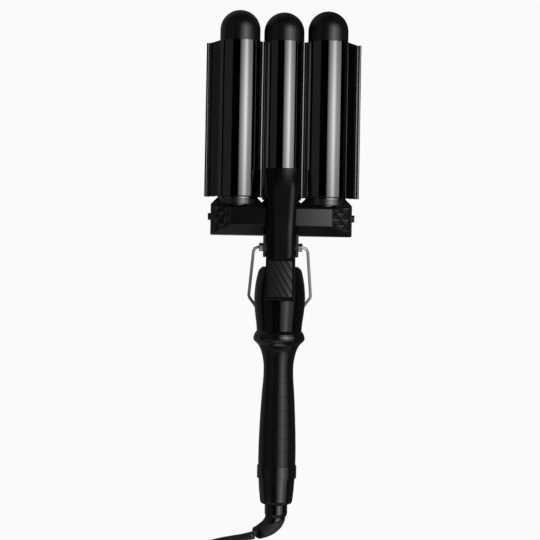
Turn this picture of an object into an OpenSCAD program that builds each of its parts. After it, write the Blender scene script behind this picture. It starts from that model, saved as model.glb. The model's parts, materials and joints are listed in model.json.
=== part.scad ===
// Three-barrel hair waver, lying on its back: barrels towards +Y, thumb lever towards +Z.
// Lengths are in millimetres. Stations along the tool count from the end of the handle, see Hidden.

/* [Jaws] */
// Outer diameter of each barrel
barrel_d = 32; // [28:0.5:34]
// Distance between neighbouring barrel axes
barrel_pitch = 35; // [34.6:0.1:38]
// Wall of the barrel tubes
barrel_wall = 1.5; // [1.2:0.1:2.5]
// Length of both jaw extrusions
jaw_len = 122.8; // [100:1:160]
// Gap that the hair fills, between a barrel and the cover over it
hair_gap = 0.9; // [0.6:0.1:1.5]
// Wall of the covers, the trough and the wings
cover_wall = 1.4; // [1:0.1:2]
// Angle round a barrel at which the wing leaves it
wing_angle = 60; // [50:1:70]
// Straight length of the front wings
wing_len = 16.4; // [10:0.2:20]
// Straight length of the back wings
back_wing_len = 14; // [8:0.2:16]
// Width of the land between a front wing and its bead
land_w = 2.2; // [1:0.1:4]
// Thickness of the bead along a wing's edge
bead_d = 2.4; // [1.8:0.1:3]
// Radius of the valley between a cover and the centre tube
valley_r = 2; // [1:0.1:2.4]
// Half the height of the clear slit between the two jaws
slit_h = 1; // [0.6:0.1:1.6]

/* [Dome caps] */
// Straight part of the outer dome caps
dome_skirt = 9.8; // [4:0.2:16]
// Straight part of the centre dome cap
centre_skirt = 8.4; // [4:0.2:16]
// Wall of the dome caps
dome_wall = 2.2; // [1.5:0.1:4]
// Depth that a cap or plug goes into its tube
spigot_len = 8; // [5:0.5:12]

/* [Heaters] */
// Room between a heater and the caps at both ends of its tube
heater_room = 11.4; // [4:0.2:20]
// Width of the ceramic heater strip
strip_w = 16; // [8:0.5:20]
// Thickness of the ceramic heater strip
strip_h = 4.4; // [2.5:0.1:6]
// Wall of the springy spreader that presses against the tube
spreader_wall = 1.2; // [0.8:0.1:2]
// Diameter of the temperature sensor
sensor_d = 3; // [2:0.1:4]

/* [Crossbar housing] */
// Room between an outer barrel and the housing's side
housing_side = 5; // [4:0.1:8]
// Size of the housing along the tool
housing_h = 29; // [26:0.2:36]
// Depth of the housing in front of the barrels' axes
housing_front_z = 17; // [15:0.2:17]
// Depth of the housing behind the barrels' axes, down to what the tool lies on
housing_back_z = 22; // [21.2:0.1:26]
// Height of the front band
band_h = 13.4; // [8:0.2:14]
// Height of the slope below the band
low_slope_h = 7.2; // [6:0.2:12]
// Width that each end slope takes off the band
end_slope_w = 16.5; // [10:0.5:20]
// Straight side of the housing in front of its parting line
side_front_z = 5; // [4.5:0.5:7]
// Size of the cut at the housing's upper corners
corner_cut = 5.2; // [2:0.2:6]
// Size of the cuts at the upper corners of the lever's recess
recess_cut = 2.6; // [1:0.1:2.6]
// Chamfer round the back of the housing
back_chamfer = 5; // [2:0.5:8]
// Wall of the housing shells
housing_wall = 2.2; // [1.6:0.1:3]
// Length of the tongue behind the trough
tongue_len = 24.3; // [10:0.5:40]
// Width of the tongue
tongue_w = 26; // [16:0.5:30]
// Height of the pyramids on the end covers
pyramid_h = 2.4; // [0.8:0.1:2.5]
// Rows of pyramids on an end cover
pyramid_rows = 2; // [2:1:4]
// Columns of pyramids on an end cover
pyramid_columns = 3; // [2:1:6]
// Thickness of an end cover
end_cover_t = 1.2; // [0.8:0.1:2]
// Diameter of the screws in the housing's sides
side_screw_d = 5.6; // [4:0.2:8]
// Height that a side screw's head stands out
side_screw_out = 2.5; // [1:0.1:4]
// Diameter of the heads of the housing screws
housing_screw_d = 6; // [4:0.2:7]
// Room between the housing and the jaws
jaw_gap = 1.2; // [0.8:0.1:3]

/* [Hinge] */
// Room between the head and the housing
neck_len = 24.8; // [20:0.2:34]
// Distance of the hinge pin from the head's shoulder
pin_up = 15; // [12:0.5:16]
// Height of the hinge pin in front of the barrels' axes
pin_z = 14; // [13.5:0.1:16]
// Outer diameter of the hollow hinge pin
pin_d = 4.4; // [4:0.1:5]
// Width between the cheeks of the yoke bracket
yoke_inner = 23.8; // [21:0.2:25]
// Thickness of a cheek
cheek_t = 2; // [1.2:0.1:2.8]
// Diameter of the nuts on the pin
nut_d = 6.4; // [5.6:0.1:8]
// Length of a nut
nut_len = 3.2; // [2:0.1:4]
// Outer diameter of the neck tube
neck_d = 15; // [12:0.2:16]
// Wall of the neck tube
neck_wall = 1.4; // [1:0.1:2]
// Length of the neck tube inside the head
neck_in = 7; // [4:0.5:10]
// Wire of the torsion spring
spring_wire = 1.2; // [0.8:0.1:1.4]
// Turns of the torsion spring
spring_turns = 5; // [3:1:7]
// Radial clearance of turning fits
run_clear = 0.05; // [0.02:0.01:0.1]
// Clearance between pieces that only sit together
seat_clear = 0.15; // [0.1:0.05:0.3]
// Room between a moving piece and what it passes
move_clear = 1; // [0.6:0.1:2]

/* [Lever] */
// Width of the lever's saddle
saddle_w = 26.8; // [24:0.1:29]
// Length of the saddle along the centre tube
saddle_len = 22.2; // [14:0.2:40]
// Wall of the saddle over the centre tube
saddle_wall = 2.6; // [1.5:0.1:4]
// Distance that the saddle's top sinks towards its end
saddle_drop = 1.1; // [0:0.1:1.2]
// Length over which the round saddle becomes the flat arm
flat_run = 14; // [8:0.5:20]
// Width of the lever's arm at the hinge
arm_w = 23; // [20:0.1:23]
// Thickness of the arm's top wall
arm_wall = 3; // [2:0.1:5]
// Height of the arm's top in front of the barrels' axes
arm_z = 24.5; // [23.6:0.1:27]
// Length of the thumb pad
pad_len = 32; // [24:0.5:36]
// Height of the pad's tip in front of the barrels' axes
pad_tip_z = 35.5; // [34.5:0.5:44]
// Thickness of the paddle under the pad
paddle_t = 3.4; // [2.5:0.1:4]
// Border round the pad's inlay
pad_border = 2.2; // [1.5:0.1:4]
// Thickness of the inlay
inlay_t = 1.2; // [0.8:0.1:2]
// Ridges across the inlay
inlay_ridges = 7; // [3:1:9]
// Width of the grooves between the ridges
inlay_groove = 1; // [0.6:0.1:1.6]
// Radius along both edges of the arm
arm_edge_r = 6.2; // [3:0.2:6.4]
// Turn of the lever when it is pressed, in degrees
lever_turn = 15; // [5:1:15]

/* [Head and handle] */
// Length of the head
head_len = 51.2; // [48:0.2:60]
// Greatest diameter of the head
head_d = 40.6; // [39:0.2:41.6]
// Wall of the head, the end cap and the grip's ends
head_wall = 2.2; // [1.6:0.1:3]
// Distance of the flat back of the head from the axis
head_flat_z = 17.6; // [17:0.1:18.2]
// Length of the flange below the head
flange_len = 11.2; // [8:0.2:16]
// Greatest diameter of the flange
flange_d = 40.8; // [36:0.2:41.8]
// Length of the grip
grip_len = 95.2; // [84:0.2:130]
// Diameter of the grip at its lower end
grip_d = 29.6; // [27:0.2:34]
// Diameter of the grip's waist
waist_d = 23.6; // [22.8:0.2:27]
// Ring grooves round the grip
grip_grooves = 6; // [0:1:8]
// Distance between two grooves
groove_pitch = 10.95; // [6:0.05:14]
// Width of a groove
groove_w = 0.6; // [0.3:0.1:1]
// Outer diameter of the core inside the grip
core_d = 20; // [17:0.2:20.6]
// Wall of the core
core_wall = 1.8; // [1.2:0.1:2.5]
// Length of the ring below the grip
end_ring_len = 9.6; // [6:0.2:14]
// Diameter of the ring below the grip
end_ring_d = 31.2; // [30:0.2:34]
// Length of the end cap
cap_len = 20.8; // [18:0.2:30]
// Diameter of the end cap at the ring
cap_d = 28.8; // [27:0.2:30]
// Diameter of the end cap at its mouth
cap_end_d = 25.8; // [24.4:0.2:27]

/* [Controls] */
// Diameter of the power button
power_d = 7; // [5:0.2:8]
// Diameter of the temperature buttons
temp_d = 6; // [4.5:0.1:6.6]
// Travel of a button
button_travel = 0.8; // [0.4:0.1:1]
// Width of the display window
window_w = 7; // [5:0.5:8]
// Length of the display window
window_len = 8; // [5:0.5:8]
// Thickness of the control board
board_t = 1.6; // [1:0.1:2]

/* [Wire stand] */
// Wire of the stand
stand_wire = 2.4; // [2:0.1:2.6]
// Width of the stand between the centres of its legs, low down
stand_w = 49.6; // [46:0.2:56]
// Width of the stand between the centres of its legs, at the hinge
stand_top_w = 42.8; // [42.6:0.2:46]
// Length of the stand's cross wire
stand_cross_w = 28; // [20:0.5:36]
// Reach of the stand's legs along the tool
stand_reach = 53; // [46:0.5:54]
// Radius of the stand's corners
stand_corner = 4; // [3:0.5:6]

/* [Cord] */
// Diameter of the cord
cord_d = 6.5; // [5:0.1:6.5]
// Diameter of the swivel below the end cap
swivel_d = 18; // [15:0.2:19]
// Length of the swivel that shows
swivel_out = 10.2; // [6:0.2:14]
// Radius of the coil halfway through its turns
coil_r = 36; // [36:0.5:44]
// Turns of the coil
coil_turns = 10.5; // [6.5:1:12.5]
// Thickness of the tie round the coil
tie_t = 1; // [0.6:0.1:1.5]
// Width of the tie
tie_w = 12; // [6:1:16]
// Width of the plug
plug_w = 26; // [22:0.5:30]
// Thickness of the plug
plug_t = 16; // [13:0.5:16]
// Length of the plug's body
plug_len = 32; // [24:0.5:40]
// Distance between the plug's blades
blade_pitch = 12.7; // [12.7]
// Length of the plug's blades
blade_len = 17.5; // [15:0.5:19]

/* [Hidden] */
$fn = 64;

// stations along the tool, from the mouth of the end cap
ring_y = cap_len;
grip_y = ring_y + end_ring_len;
flange_y = grip_y + grip_len;
head_y = flange_y + flange_len;
shoulder_y = head_y + head_len;
housing_y = shoulder_y + neck_len;
housing_top = housing_y + housing_h;
jaw_y = housing_top + jaw_gap;
jaw_top = jaw_y + jaw_len;
tip_y = jaw_top + dome_skirt + barrel_d / 2;
pin_y = shoulder_y + pin_up;
middle_y = (tip_y - swivel_out) / 2;

// radii round the barrels
barrel_r = barrel_d / 2;
bore_r = barrel_r - barrel_wall;
cover_in = barrel_r + hair_gap;
cover_out = cover_in + cover_wall;
plug_r = bore_r - seat_clear;

// the hinge
yoke_outer = yoke_inner + 2 * cheek_t;
pin_bore_d = stand_wire + 2 * run_clear;
neck_floor_z = neck_d / 2 + 1.2;
ear_r = pin_z - neck_floor_z - move_clear;
yoke_y = pin_y - 7.4;
cheek_over = 4.6;

// the housing
housing_w = 2 * (barrel_pitch + barrel_r + housing_side);
band_y = housing_y + low_slope_h;
band_top = band_y + band_h;
band_w = housing_w - 2 * end_slope_w;

// the head's buttons, board and window
board_y = head_y + 11;
board_len = 32;
board_w = 24.4;
board_z = -11.6;
button_out = 0.8;
button_flange = 0.9;
button_flange_t = 1.2;
switch_d = 3;
power_y = head_y + 22.5;
temp_y = head_y + 31;
temp_x = 4.6;
window_y = head_y + 35.5;

// the stand's cross wire lies on what the tool lies on
stand_cross_z = -housing_back_z + stand_wire / 2;

// the swivel inside the end cap
swivel_neck_d = swivel_d - 2;
swivel_flange_d = core_d - 0.8;
mouth_t = 2.4;
swivel_stub_d = 8;
core_y = mouth_t + 4.6;
socket_y = core_y + 2;
socket_len = 12;

// the cord's route: points chosen by hand, from the mouth of the end cap and the handle's axis
boot_route = [[-1.4, -14.2, -0.2], [-4.6, -18.2, -1], [-9.8, -22.8, -2.6], [-15.2, -25.2, -3.9],
              [-17.4, -26, -4.5]];
boot_radii = [7.9, 7.7, 6.8, 5.4, 4.6];
lead_route = [[-17.4, -26, -4.5], [-23.4, -27.9, -6], [-31, -30, -9], [-40, -32.2, -12.2],
              [-49, -34.8, -14.6], [-58, -38.4, -16.2], [-67, -42.8, -17.1], [-76, -46, -17.4],
              [-83.5, -47.2, -17.4], [-90, -47.2, -17.4]];
tail_route = [[-90, -137.4, 3.4], [-83.5, -137.4, 3.4], [-82.4, -137.4, 3.4], [-81.3, -137.4, 3.4],
              [-76, -137.4, 2.2], [-67, -137.8, -1.6], [-58, -138.4, -6.2], [-49, -139, -10.4],
              [-41, -139.4, -13], [-33, -139.6, -14], [-26.5, -139.6, -14]];
coil_layers = 4;
coil_gap = 0.45;
coil_x = -90;
plug_from = tail_route[len(tail_route) - 1];
relief_len = 18;

// ---- helpers ----

// from stations on the tool to the part's frame
module place() translate([0, -middle_y, housing_back_z]) children();

// extrudes an outline drawn in X and Z from station y0 to y1
module along(y0, y1) translate([0, y1, 0]) rotate([90, 0, 0]) linear_extrude(y1 - y0) children();

// extrudes an outline drawn in Y and Z across the tool, half of it on each side
module across(w) rotate([90, 0, 90]) linear_extrude(w, center = true) children();

// turns an outline of radii and stations round the tool's axis
module turned() rotate([-90, 0, 0]) rotate_extrude() children();

// a round bar along the tool
module bar(r, y0, y1) along(y0, y1) circle(r);

// keeps one side of the plane z = 0
module front_half() intersection() {
    children();
    translate([-300, -300, 0]) cube([600, 1200, 300]);
}
module back_half() intersection() {
    children();
    translate([-300, -300, -300]) cube([600, 1200, 300]);
}

function unit(v) = v / norm(v);

// a smooth curve through points, with n steps between two of them
function between(p, i, t) =
    let(a = p[max(i - 1, 0)], b = p[i], c = p[i + 1], d = p[min(i + 2, len(p) - 1)])
    0.5 * (2 * b + (c - a) * t + (2 * a - 5 * b + 4 * c - d) * t * t + (3 * b - a - 3 * c + d) * t * t * t);
function smooth(p, n) =
    concat([for (i = [0:len(p) - 2]) for (k = [0:n - 1]) between(p, i, k / n)], [p[len(p) - 1]]);

// a tube through points: one polyhedron with a ring at each point
module tube(points, radii, sides) {
    last = len(points) - 1;
    rings = [for (i = [0:last])
        let(t = unit(points[min(i + 1, last)] - points[max(i - 1, 0)]),
            s = unit(cross(t, [0, 0, 1])),
            u = cross(s, t),
            r = is_list(radii) ? radii[i] : radii)
        for (k = [0:sides - 1]) points[i] + r * (cos(360 * k / sides) * s + sin(360 * k / sides) * u)];
    faces = concat(
        [[for (k = [sides - 1:-1:0]) k]],
        [for (i = [0:last - 1]) for (k = [0:sides - 1]) for (half = [0, 1])
            let(a = i * sides + k, b = i * sides + (k + 1) % sides)
            half == 0 ? [a, b, b + sides] : [a, b + sides, a + sides]],
        [[for (k = [0:sides - 1]) last * sides + k]]);
    polyhedron(rings, faces, convexity = 10);
}

// ---- jaws ----

// the right wing, tangent to a barrel, between two radii
module wing(r0, r1, w)
    translate([barrel_pitch, 0]) rotate(-wing_angle) translate([-1, r0]) square([w + 1, r1 - r0]);

// a wing stands this much proud of the arc that it leaves
graze_out = 0.06;

// the end of the middle of a wing
function wing_end(r, w) = [barrel_pitch + r * sin(wing_angle) + w * cos(wing_angle),
                           r * cos(wing_angle) - w * sin(wing_angle)];

module ring(r0, r1) difference() {
    circle(r1);
    circle(r0);
}

// fills the narrow gap between a ring at x = 0 and one at the next barrel, down to a round valley
module valley(r_here, r_next) {
    bite = 0.7;
    graze = 0.08;
    cx = (pow(barrel_pitch, 2) + pow(r_here + valley_r, 2) - pow(r_next + valley_r, 2)) / (2 * barrel_pitch);
    cz = sqrt(pow(r_here + valley_r, 2) - cx * cx);
    here = atan2(-cz, -cx);
    next = atan2(-cz, barrel_pitch - cx);
    function spot(r, a) = [cx + r * cos(a), cz + r * sin(a)];
    polygon(concat(
        [[sqrt(r_here * r_here - slit_h * slit_h) - bite, slit_h], spot(valley_r + bite, here)],
        [for (k = [0:8]) spot(valley_r + graze, here + (next - here) * k / 8)],
        [spot(valley_r + bite, next),
         [barrel_pitch - sqrt(r_next * r_next - slit_h * slit_h) + bite, slit_h]]));
}

// one side of the front jaw: a cover over the outer barrel, and its wing with land and bead
module cover_side() {
    lip = wing_end((cover_in + cover_out) / 2, wing_len);
    arc_angle = wing_angle + 1.5;
    intersection() {
        translate([barrel_pitch, 0]) ring(cover_in, cover_out);
        union() {
            translate([0, slit_h]) square([barrel_pitch + 1, 2 * cover_out]);
            translate([barrel_pitch, 0])
                polygon([[0, 0],
                         for (k = [0:4]) let(a = arc_angle * k / 4) 2 * cover_out * [sin(a), cos(a)]]);
        }
    }
    valley(barrel_r, cover_out);
    wing(cover_in + graze_out, cover_out + graze_out, wing_len);
    translate(lip) circle(d = bead_d);
    translate(lip - [0, cover_wall / 2]) square([land_w, cover_wall]);
    translate(lip + [land_w, (bead_d - cover_wall) / 2 - 0.1]) circle(d = bead_d);
}

module front_jaw_plate() color([0.05, 0.05, 0.055]) place() {
    along(jaw_y, jaw_top) ring(bore_r, barrel_r);
    along(jaw_y, jaw_top) cover_side();
    along(jaw_y, jaw_top) mirror([1, 0]) cover_side();
}

// one side of the back jaw: an outer barrel, its wing and half of the trough's edge
module barrel_side() {
    translate([barrel_pitch, 0]) ring(bore_r, barrel_r);
    wing(barrel_r - cover_wall + graze_out, barrel_r + graze_out, back_wing_len);
    translate(wing_end(barrel_r - cover_wall / 2, back_wing_len)) circle(d = cover_wall + 0.6);
    mirror([0, 1]) valley(cover_out, barrel_r);
}

module back_jaw_plate() color([0.05, 0.05, 0.055]) place() {
    along(jaw_y, jaw_top) intersection() {
        ring(cover_in, cover_out);
        translate([-2 * cover_out, -2 * cover_out]) square([4 * cover_out, 2 * cover_out - slit_h]);
    }
    along(jaw_y, jaw_top) barrel_side();
    along(jaw_y, jaw_top) mirror([1, 0]) barrel_side();
}

module dome(x, skirt) color([0.09, 0.09, 0.09]) place() translate([x, 0, 0]) difference() {
    union() {
        bar(barrel_r, jaw_top, jaw_top + skirt);
        bar(plug_r, jaw_top - spigot_len, jaw_top);
        intersection() {
            translate([0, jaw_top + skirt, 0]) sphere(barrel_r);
            bar(barrel_r, jaw_top + skirt, jaw_top + skirt + barrel_r);
        }
    }
    bar(plug_r - dome_wall, jaw_top - spigot_len - 1, jaw_top + skirt);
    translate([0, jaw_top + skirt, 0]) sphere(plug_r - dome_wall);
}

module front_dome_cap() dome(0, centre_skirt);
module left_dome_cap() dome(-barrel_pitch, dome_skirt);
module right_dome_cap() dome(barrel_pitch, dome_skirt);

// ---- heaters ----

heater_y = jaw_y + spigot_len + heater_room;
heater_top = jaw_top - spigot_len - heater_room;

// one springy half of a spreader: a D with its flat side on the strip
module d_outline() difference() {
    intersection() {
        circle(plug_r);
        translate([-barrel_d, strip_h / 2]) square([2 * barrel_d, barrel_d]);
    }
    intersection() {
        circle(plug_r - spreader_wall);
        translate([-barrel_d, strip_h / 2 + spreader_wall]) square([2 * barrel_d, barrel_d]);
    }
}

module spreader(x) color("silver") place() translate([x, 0, 0]) {
    along(heater_y, heater_top) d_outline();
    mirror([0, 0, 1]) along(heater_y, heater_top) d_outline();
}

module strip(x) color("ivory") place() translate([x - strip_w / 2, heater_y, -strip_h / 2])
    cube([strip_w, heater_top - heater_y, strip_h]);

module front_heat_spreader() spreader(0);
module left_heat_spreader() spreader(-barrel_pitch);
module right_heat_spreader() spreader(barrel_pitch);
module front_heater_strip() strip(0);
module left_heater_strip() strip(-barrel_pitch);
module right_heater_strip() strip(barrel_pitch);

module temperature_sensor() color("gold") place()
    translate([-barrel_pitch, 0, strip_h / 2 + spreader_wall + sensor_d / 2 + 0.1])
    bar(sensor_d / 2, heater_y + 10, heater_y + 24);

// ---- lever ----

plate_t = 2;
plate_r = barrel_pitch - barrel_r - 0.6 - housing_wall - 0.7;
plate_w = 16;
lever_screw_d = 2.4;
lever_screw_head = 1.4;
lever_screw_x = 7;
lever_screw_z = -3;
pad_y = pin_y - 9;
pad_tip_y = pad_y - pad_len;
pad_angle = atan2(pad_tip_z - arm_z, pad_len);
under_z = housing_front_z + move_clear;

module front_end_plug() color("dimgray") place() difference() {
    bar(plug_r, jaw_y, jaw_y + spigot_len);
    for (x = [-1, 1]) translate([x * lever_screw_x, 0, lever_screw_z])
        bar(lever_screw_d / 2 + run_clear, jaw_y - 1, jaw_y + spigot_len + 1);
}

module lever_screws() color("silver") place() for (x = [-1, 1])
    translate([x * lever_screw_x, 0, lever_screw_z]) {
        bar(lever_screw_d / 2, jaw_y - plate_t, jaw_y + spigot_len - 1);
        bar(lever_screw_d, jaw_y - plate_t - lever_screw_head, jaw_y - plate_t);
    }

// the lever's outer form: round over the centre tube, flat with rounded edges over the hinge
saddle_r = barrel_r + saddle_wall;
arm_from = jaw_y + saddle_len - 2;
arm_to = pin_y + 6;
form_steps = 16;
form_half = 14;
form_low = 5;

function ease(t) = let(c = max(0, min(1, t))) c * c * (3 - 2 * c);

// half a section of half width w from its middle to its edge, below its top: round and flat
function round_section(u, w) = [w * u, sqrt(saddle_r * saddle_r - w * w * u * u) - saddle_r];
function flat_section(u, w) = let(flat = w - arm_edge_r, bend = 90 * max(0, 2 * u - 1))
    u < 0.5 ? [2 * u * flat, 0] : [flat + arm_edge_r * sin(bend), -arm_edge_r * (1 - cos(bend))];
function form_point(y, u) =
    let(slow = ease((arm_from - y) / (arm_from - arm_to)),
        fast = ease((arm_from - y) / flat_run),
        w = (1 - slow) * min(saddle_w / 2, saddle_r - 1) + slow * arm_w / 2,
        sunk = saddle_drop * (1 - ease((jaw_y + saddle_len - y) / flat_run)),
        top = (1 - slow) * saddle_r + slow * arm_z - sunk,
        p = (1 - fast) * round_section(abs(u), w) + fast * flat_section(abs(u), w))
    [u < 0 ? -p[0] : p[0], y, top + p[1]];

module lever_form() {
    ys = concat([jaw_y + saddle_len],
                [for (k = [0:form_steps]) arm_from + (arm_to - arm_from) * k / form_steps], [pad_y - 1]);
    us = [for (k = [-form_half:form_half]) k / form_half];
    n = len(us) + 2;
    points = [for (y = ys) each concat([[form_point(y, -1)[0], y, form_low]], [for (u = us) form_point(y, u)],
                                       [[form_point(y, 1)[0], y, form_low]])];
    faces = concat(
        [[for (k = [n - 1:-1:0]) k]],
        [for (i = [0:len(ys) - 2]) for (k = [0:n - 1]) for (half = [0, 1])
            let(a = i * n + k, b = i * n + (k + 1) % n) half == 0 ? [a, b + n, a + n] : [a, b, b + n]],
        [[for (k = [0:n - 1]) (len(ys) - 1) * n + k]]);
    polyhedron(points, faces, convexity = 10);
}

// the room below the lever's top, over the housing and the hinge
module under_arm() difference() {
    polygon([[jaw_y - plate_t, 0], [jaw_y - plate_t, under_z], [housing_y, under_z],
             [arm_to, arm_z - arm_wall], [pad_y - 2, arm_z - arm_wall], [pad_y - 2, 0]]);
    translate([pin_y, pin_z]) circle(ear_r);
    translate([pin_y - ear_r, pin_z]) square([2 * ear_r, arm_z - pin_z]);
}

// from the pad's upper edge, with Y along the pad towards the arm and Z out of it
module on_pad() translate([0, pad_y, arm_z]) rotate([-pad_angle, 0, 0]) children();
pad_run = pad_len / cos(pad_angle);

module lever_arm() color([0.06, 0.06, 0.06]) place() difference() {
    union() {
        difference() {
            lever_form();
            bar(barrel_r + seat_clear, jaw_y, jaw_y + saddle_len + 1);
            across(2 * saddle_w) under_arm();
            translate([-arm_w / 2 + arm_wall, pad_y - 2, 0])
                cube([arm_w - 2 * arm_wall, housing_y - pad_y + 2, arm_z - arm_wall]);
        }
        along(jaw_y - plate_t, jaw_y) intersection() {
            circle(plate_r);
            translate([-plate_r, lever_screw_z - 7]) square([2 * plate_r, 40]);
        }
        on_pad() difference() {
            translate([-arm_w / 2, -pad_run, -paddle_t]) cube([arm_w, pad_run + 1, paddle_t]);
            translate([-arm_w / 2 + pad_border, -pad_run + pad_border, -inlay_t])
                cube([arm_w - 2 * pad_border, pad_run - 2 * pad_border, paddle_t]);
        }
    }
    translate([-arm_w, pin_y, pin_z]) rotate([0, 90, 0]) cylinder(h = 2 * arm_w, d = pin_d + 2 * run_clear);
    for (x = [-1, 1]) translate([x * lever_screw_x, 0, lever_screw_z])
        bar(lever_screw_d / 2 + run_clear, jaw_y - plate_t - 1, jaw_y + 1);
}

// the inlay in the paddle, with slanting ridges
ridge_angle = 60;
module thumb_pad() color([0.13, 0.13, 0.13]) place() on_pad() {
    w = arm_w - 2 * pad_border - 2 * seat_clear;
    l = pad_run - 2 * pad_border - 2 * seat_clear;
    pitch = (l + w * tan(ridge_angle)) / inlay_ridges;
    translate([-w / 2, -pad_border - seat_clear - l, -inlay_t]) {
        cube([w, l, inlay_t]);
        intersection() {
            cube([w, l, 2 * inlay_t]);
            union() for (i = [0:inlay_ridges - 1])
                translate([0, (i + 0.5) * pitch, 0]) rotate([0, 0, -ridge_angle])
                    translate([-l, inlay_groove / 2 - pitch * cos(ridge_angle) / 2, -inlay_t / 2])
                    cube([3 * l, pitch * cos(ridge_angle) - inlay_groove, 2 * inlay_t]);
        }
    }
}

spring_r = pin_d / 2 + 0.5 + spring_wire / 2;
spring_pitch = spring_wire + 0.5;
spring_half = spring_turns * spring_pitch / 2;

module torsion_spring() color("silver") place() translate([0, pin_y, pin_z]) {
    turns = [for (i = [0:8 * spring_turns]) let(a = 360 * i / 8 - 90)
        [-spring_half + spring_pitch * i / 8, spring_r * cos(a), spring_r * sin(a)]];
    near = turns[0] - [0, 5, 0];
    far = turns[len(turns) - 1] + [0, 5, 0];
    path = concat([near], turns, [far]);
    tube([for (q = path) [q[0], q[1], q[2]]], spring_wire / 2, 6);
}

// ---- housing ----

roof_z = 4;
floor_z = 5;
collar_y = housing_y + 13;
collar_step_y = band_top + 3;
collar_r = barrel_r - 0.1;
recess_w = 2 * (barrel_pitch - barrel_r - 0.6 - housing_wall);
recess_y = jaw_y - plate_t - lever_screw_head - move_clear;
recess_deep = 13;
screw_y = housing_y + 14.4;
screw_z = -6;
side_hole = 10;
slope_angle = atan2(housing_front_z - side_front_z, end_slope_w);
screw_x = housing_w / 2 - 12;
screw_places = [[-screw_x, housing_y + 0.24 * housing_h], [screw_x, housing_y + 0.24 * housing_h],
                [-13, housing_y + 17], [13, housing_y + 17]];
boss_r = 3;
housing_shank_d = 2.4;
head_deep = 1.6;

// the housing's block in front of the parting line, drawn in by i
module front_block(i) intersection() {
    across(housing_w - 2 * i) polygon([
        [housing_y + i, -0.01], [housing_y + i, floor_z - 0.3 * i], [band_y + 0.4 * i, housing_front_z - i],
        [band_top - 0.4 * i, housing_front_z - i], [housing_top - i, roof_z - 0.3 * i],
        [housing_top - i, -0.01]]);
    along(housing_y, housing_top) polygon([
        [-housing_w / 2 + i, -0.01], [-housing_w / 2 + i, side_front_z - 0.3 * i],
        [-band_w / 2 + 0.4 * i, housing_front_z - i], [band_w / 2 - 0.4 * i, housing_front_z - i],
        [housing_w / 2 - i, side_front_z - 0.3 * i], [housing_w / 2 - i, -0.01]]);
    translate([0, 0, -1]) linear_extrude(2 * housing_front_z) plan();
}

// the housing's block behind the parting line, drawn in by i
module back_block(i) intersection() {
    c = back_chamfer;
    across(housing_w - 2 * i) polygon([
        [housing_y + i, 0.01], [housing_y + i, -housing_back_z + c + 0.4 * i],
        [housing_y + c + 0.4 * i, -housing_back_z + i], [housing_top - c - 0.4 * i, -housing_back_z + i],
        [housing_top - i, -housing_back_z + c + 0.4 * i], [housing_top - i, 0.01]]);
    along(housing_y, housing_top) polygon([
        [-housing_w / 2 + i, 0.01], [-housing_w / 2 + i, -housing_back_z + c + 0.4 * i],
        [-housing_w / 2 + c + 0.4 * i, -housing_back_z + i],
        [housing_w / 2 - c - 0.4 * i, -housing_back_z + i],
        [housing_w / 2 - i, -housing_back_z + c + 0.4 * i], [housing_w / 2 - i, 0.01]]);
    translate([0, 0, -2 * housing_back_z]) linear_extrude(2 * housing_back_z + 1) plan();
}

// the housing seen from the front, with its upper corners cut
module plan() polygon([
    [-housing_w / 2, housing_y], [housing_w / 2, housing_y], [housing_w / 2, housing_top - corner_cut],
    [housing_w / 2 - corner_cut, housing_top], [-housing_w / 2 + corner_cut, housing_top],
    [-housing_w / 2, housing_top - corner_cut]]);

// holes that both shells share: collars, neck tube and the recess for the lever's plate
module housing_holes() {
    for (x = [-1, 1]) translate([x * barrel_pitch, 0, 0]) {
        bar(plug_r - 1 + seat_clear, collar_y - 2, jaw_y);
        bar(collar_r + seat_clear, collar_step_y, jaw_y);
    }
    bar(neck_d / 2 + seat_clear, housing_y - 1, housing_y + 7);
    translate([-recess_w / 2, recess_y, -recess_deep]) cube([recess_w, housing_h, 4 * housing_front_z]);
    side = recess_cut * sqrt(2);
    for (s = [0, 1]) mirror([s, 0, 0]) translate([recess_w / 2, housing_top, -housing_back_z - 1])
        rotate([0, 0, 45]) translate([-side / 2, -side / 2, 0]) cube([side, side, 4 * housing_back_z]);
}

module recess_walls(z0, h) translate([-recess_w / 2 - housing_wall, recess_y - housing_wall, z0])
    cube([recess_w + 2 * housing_wall, housing_top - recess_y + housing_wall, h]);

// places a piece on an end slope: X down the slope from the band, Z out of it
module on_slope() translate([band_w / 2, (band_y + band_top) / 2, housing_front_z])
    rotate([0, slope_angle, 0]) children();
slope_len = norm([end_slope_w, housing_front_z - side_front_z]);

module end_plate_outline(grow) polygon([
    [1.2 - grow, -band_h / 2 - grow], [slope_len - 1 + grow, -band_h / 2 - 0.7 * low_slope_h - grow],
    [slope_len - 1 + grow, band_h / 2 + 2.5 + grow], [1.2 - grow, band_h / 2 - 1 + grow]]);

module housing_front() color([0.11, 0.11, 0.11]) place() difference() {
    union() {
        difference() {
            front_block(0);
            front_block(housing_wall);
            translate([-housing_w / 2 + housing_wall, housing_y + housing_wall, -1])
                cube([housing_w - 2 * housing_wall, housing_h - 2 * housing_wall - corner_cut, 1.5]);
        }
        intersection() {
            front_block(0);
            union() {
                recess_walls(0, housing_front_z);
                for (p = screw_places) translate([p[0], p[1], 0]) cylinder(h = housing_front_z, r = boss_r);
            }
        }
    }
    housing_holes();
    for (p = screw_places) translate([p[0], p[1], -1])
        cylinder(h = housing_front_z / 2 + 1, d = housing_shank_d + 2 * run_clear);
    for (s = [0, 1]) mirror([s, 0, 0]) on_slope() translate([0, 0, -end_cover_t])
        linear_extrude(2 * end_cover_t) end_plate_outline(seat_clear);
}

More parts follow.
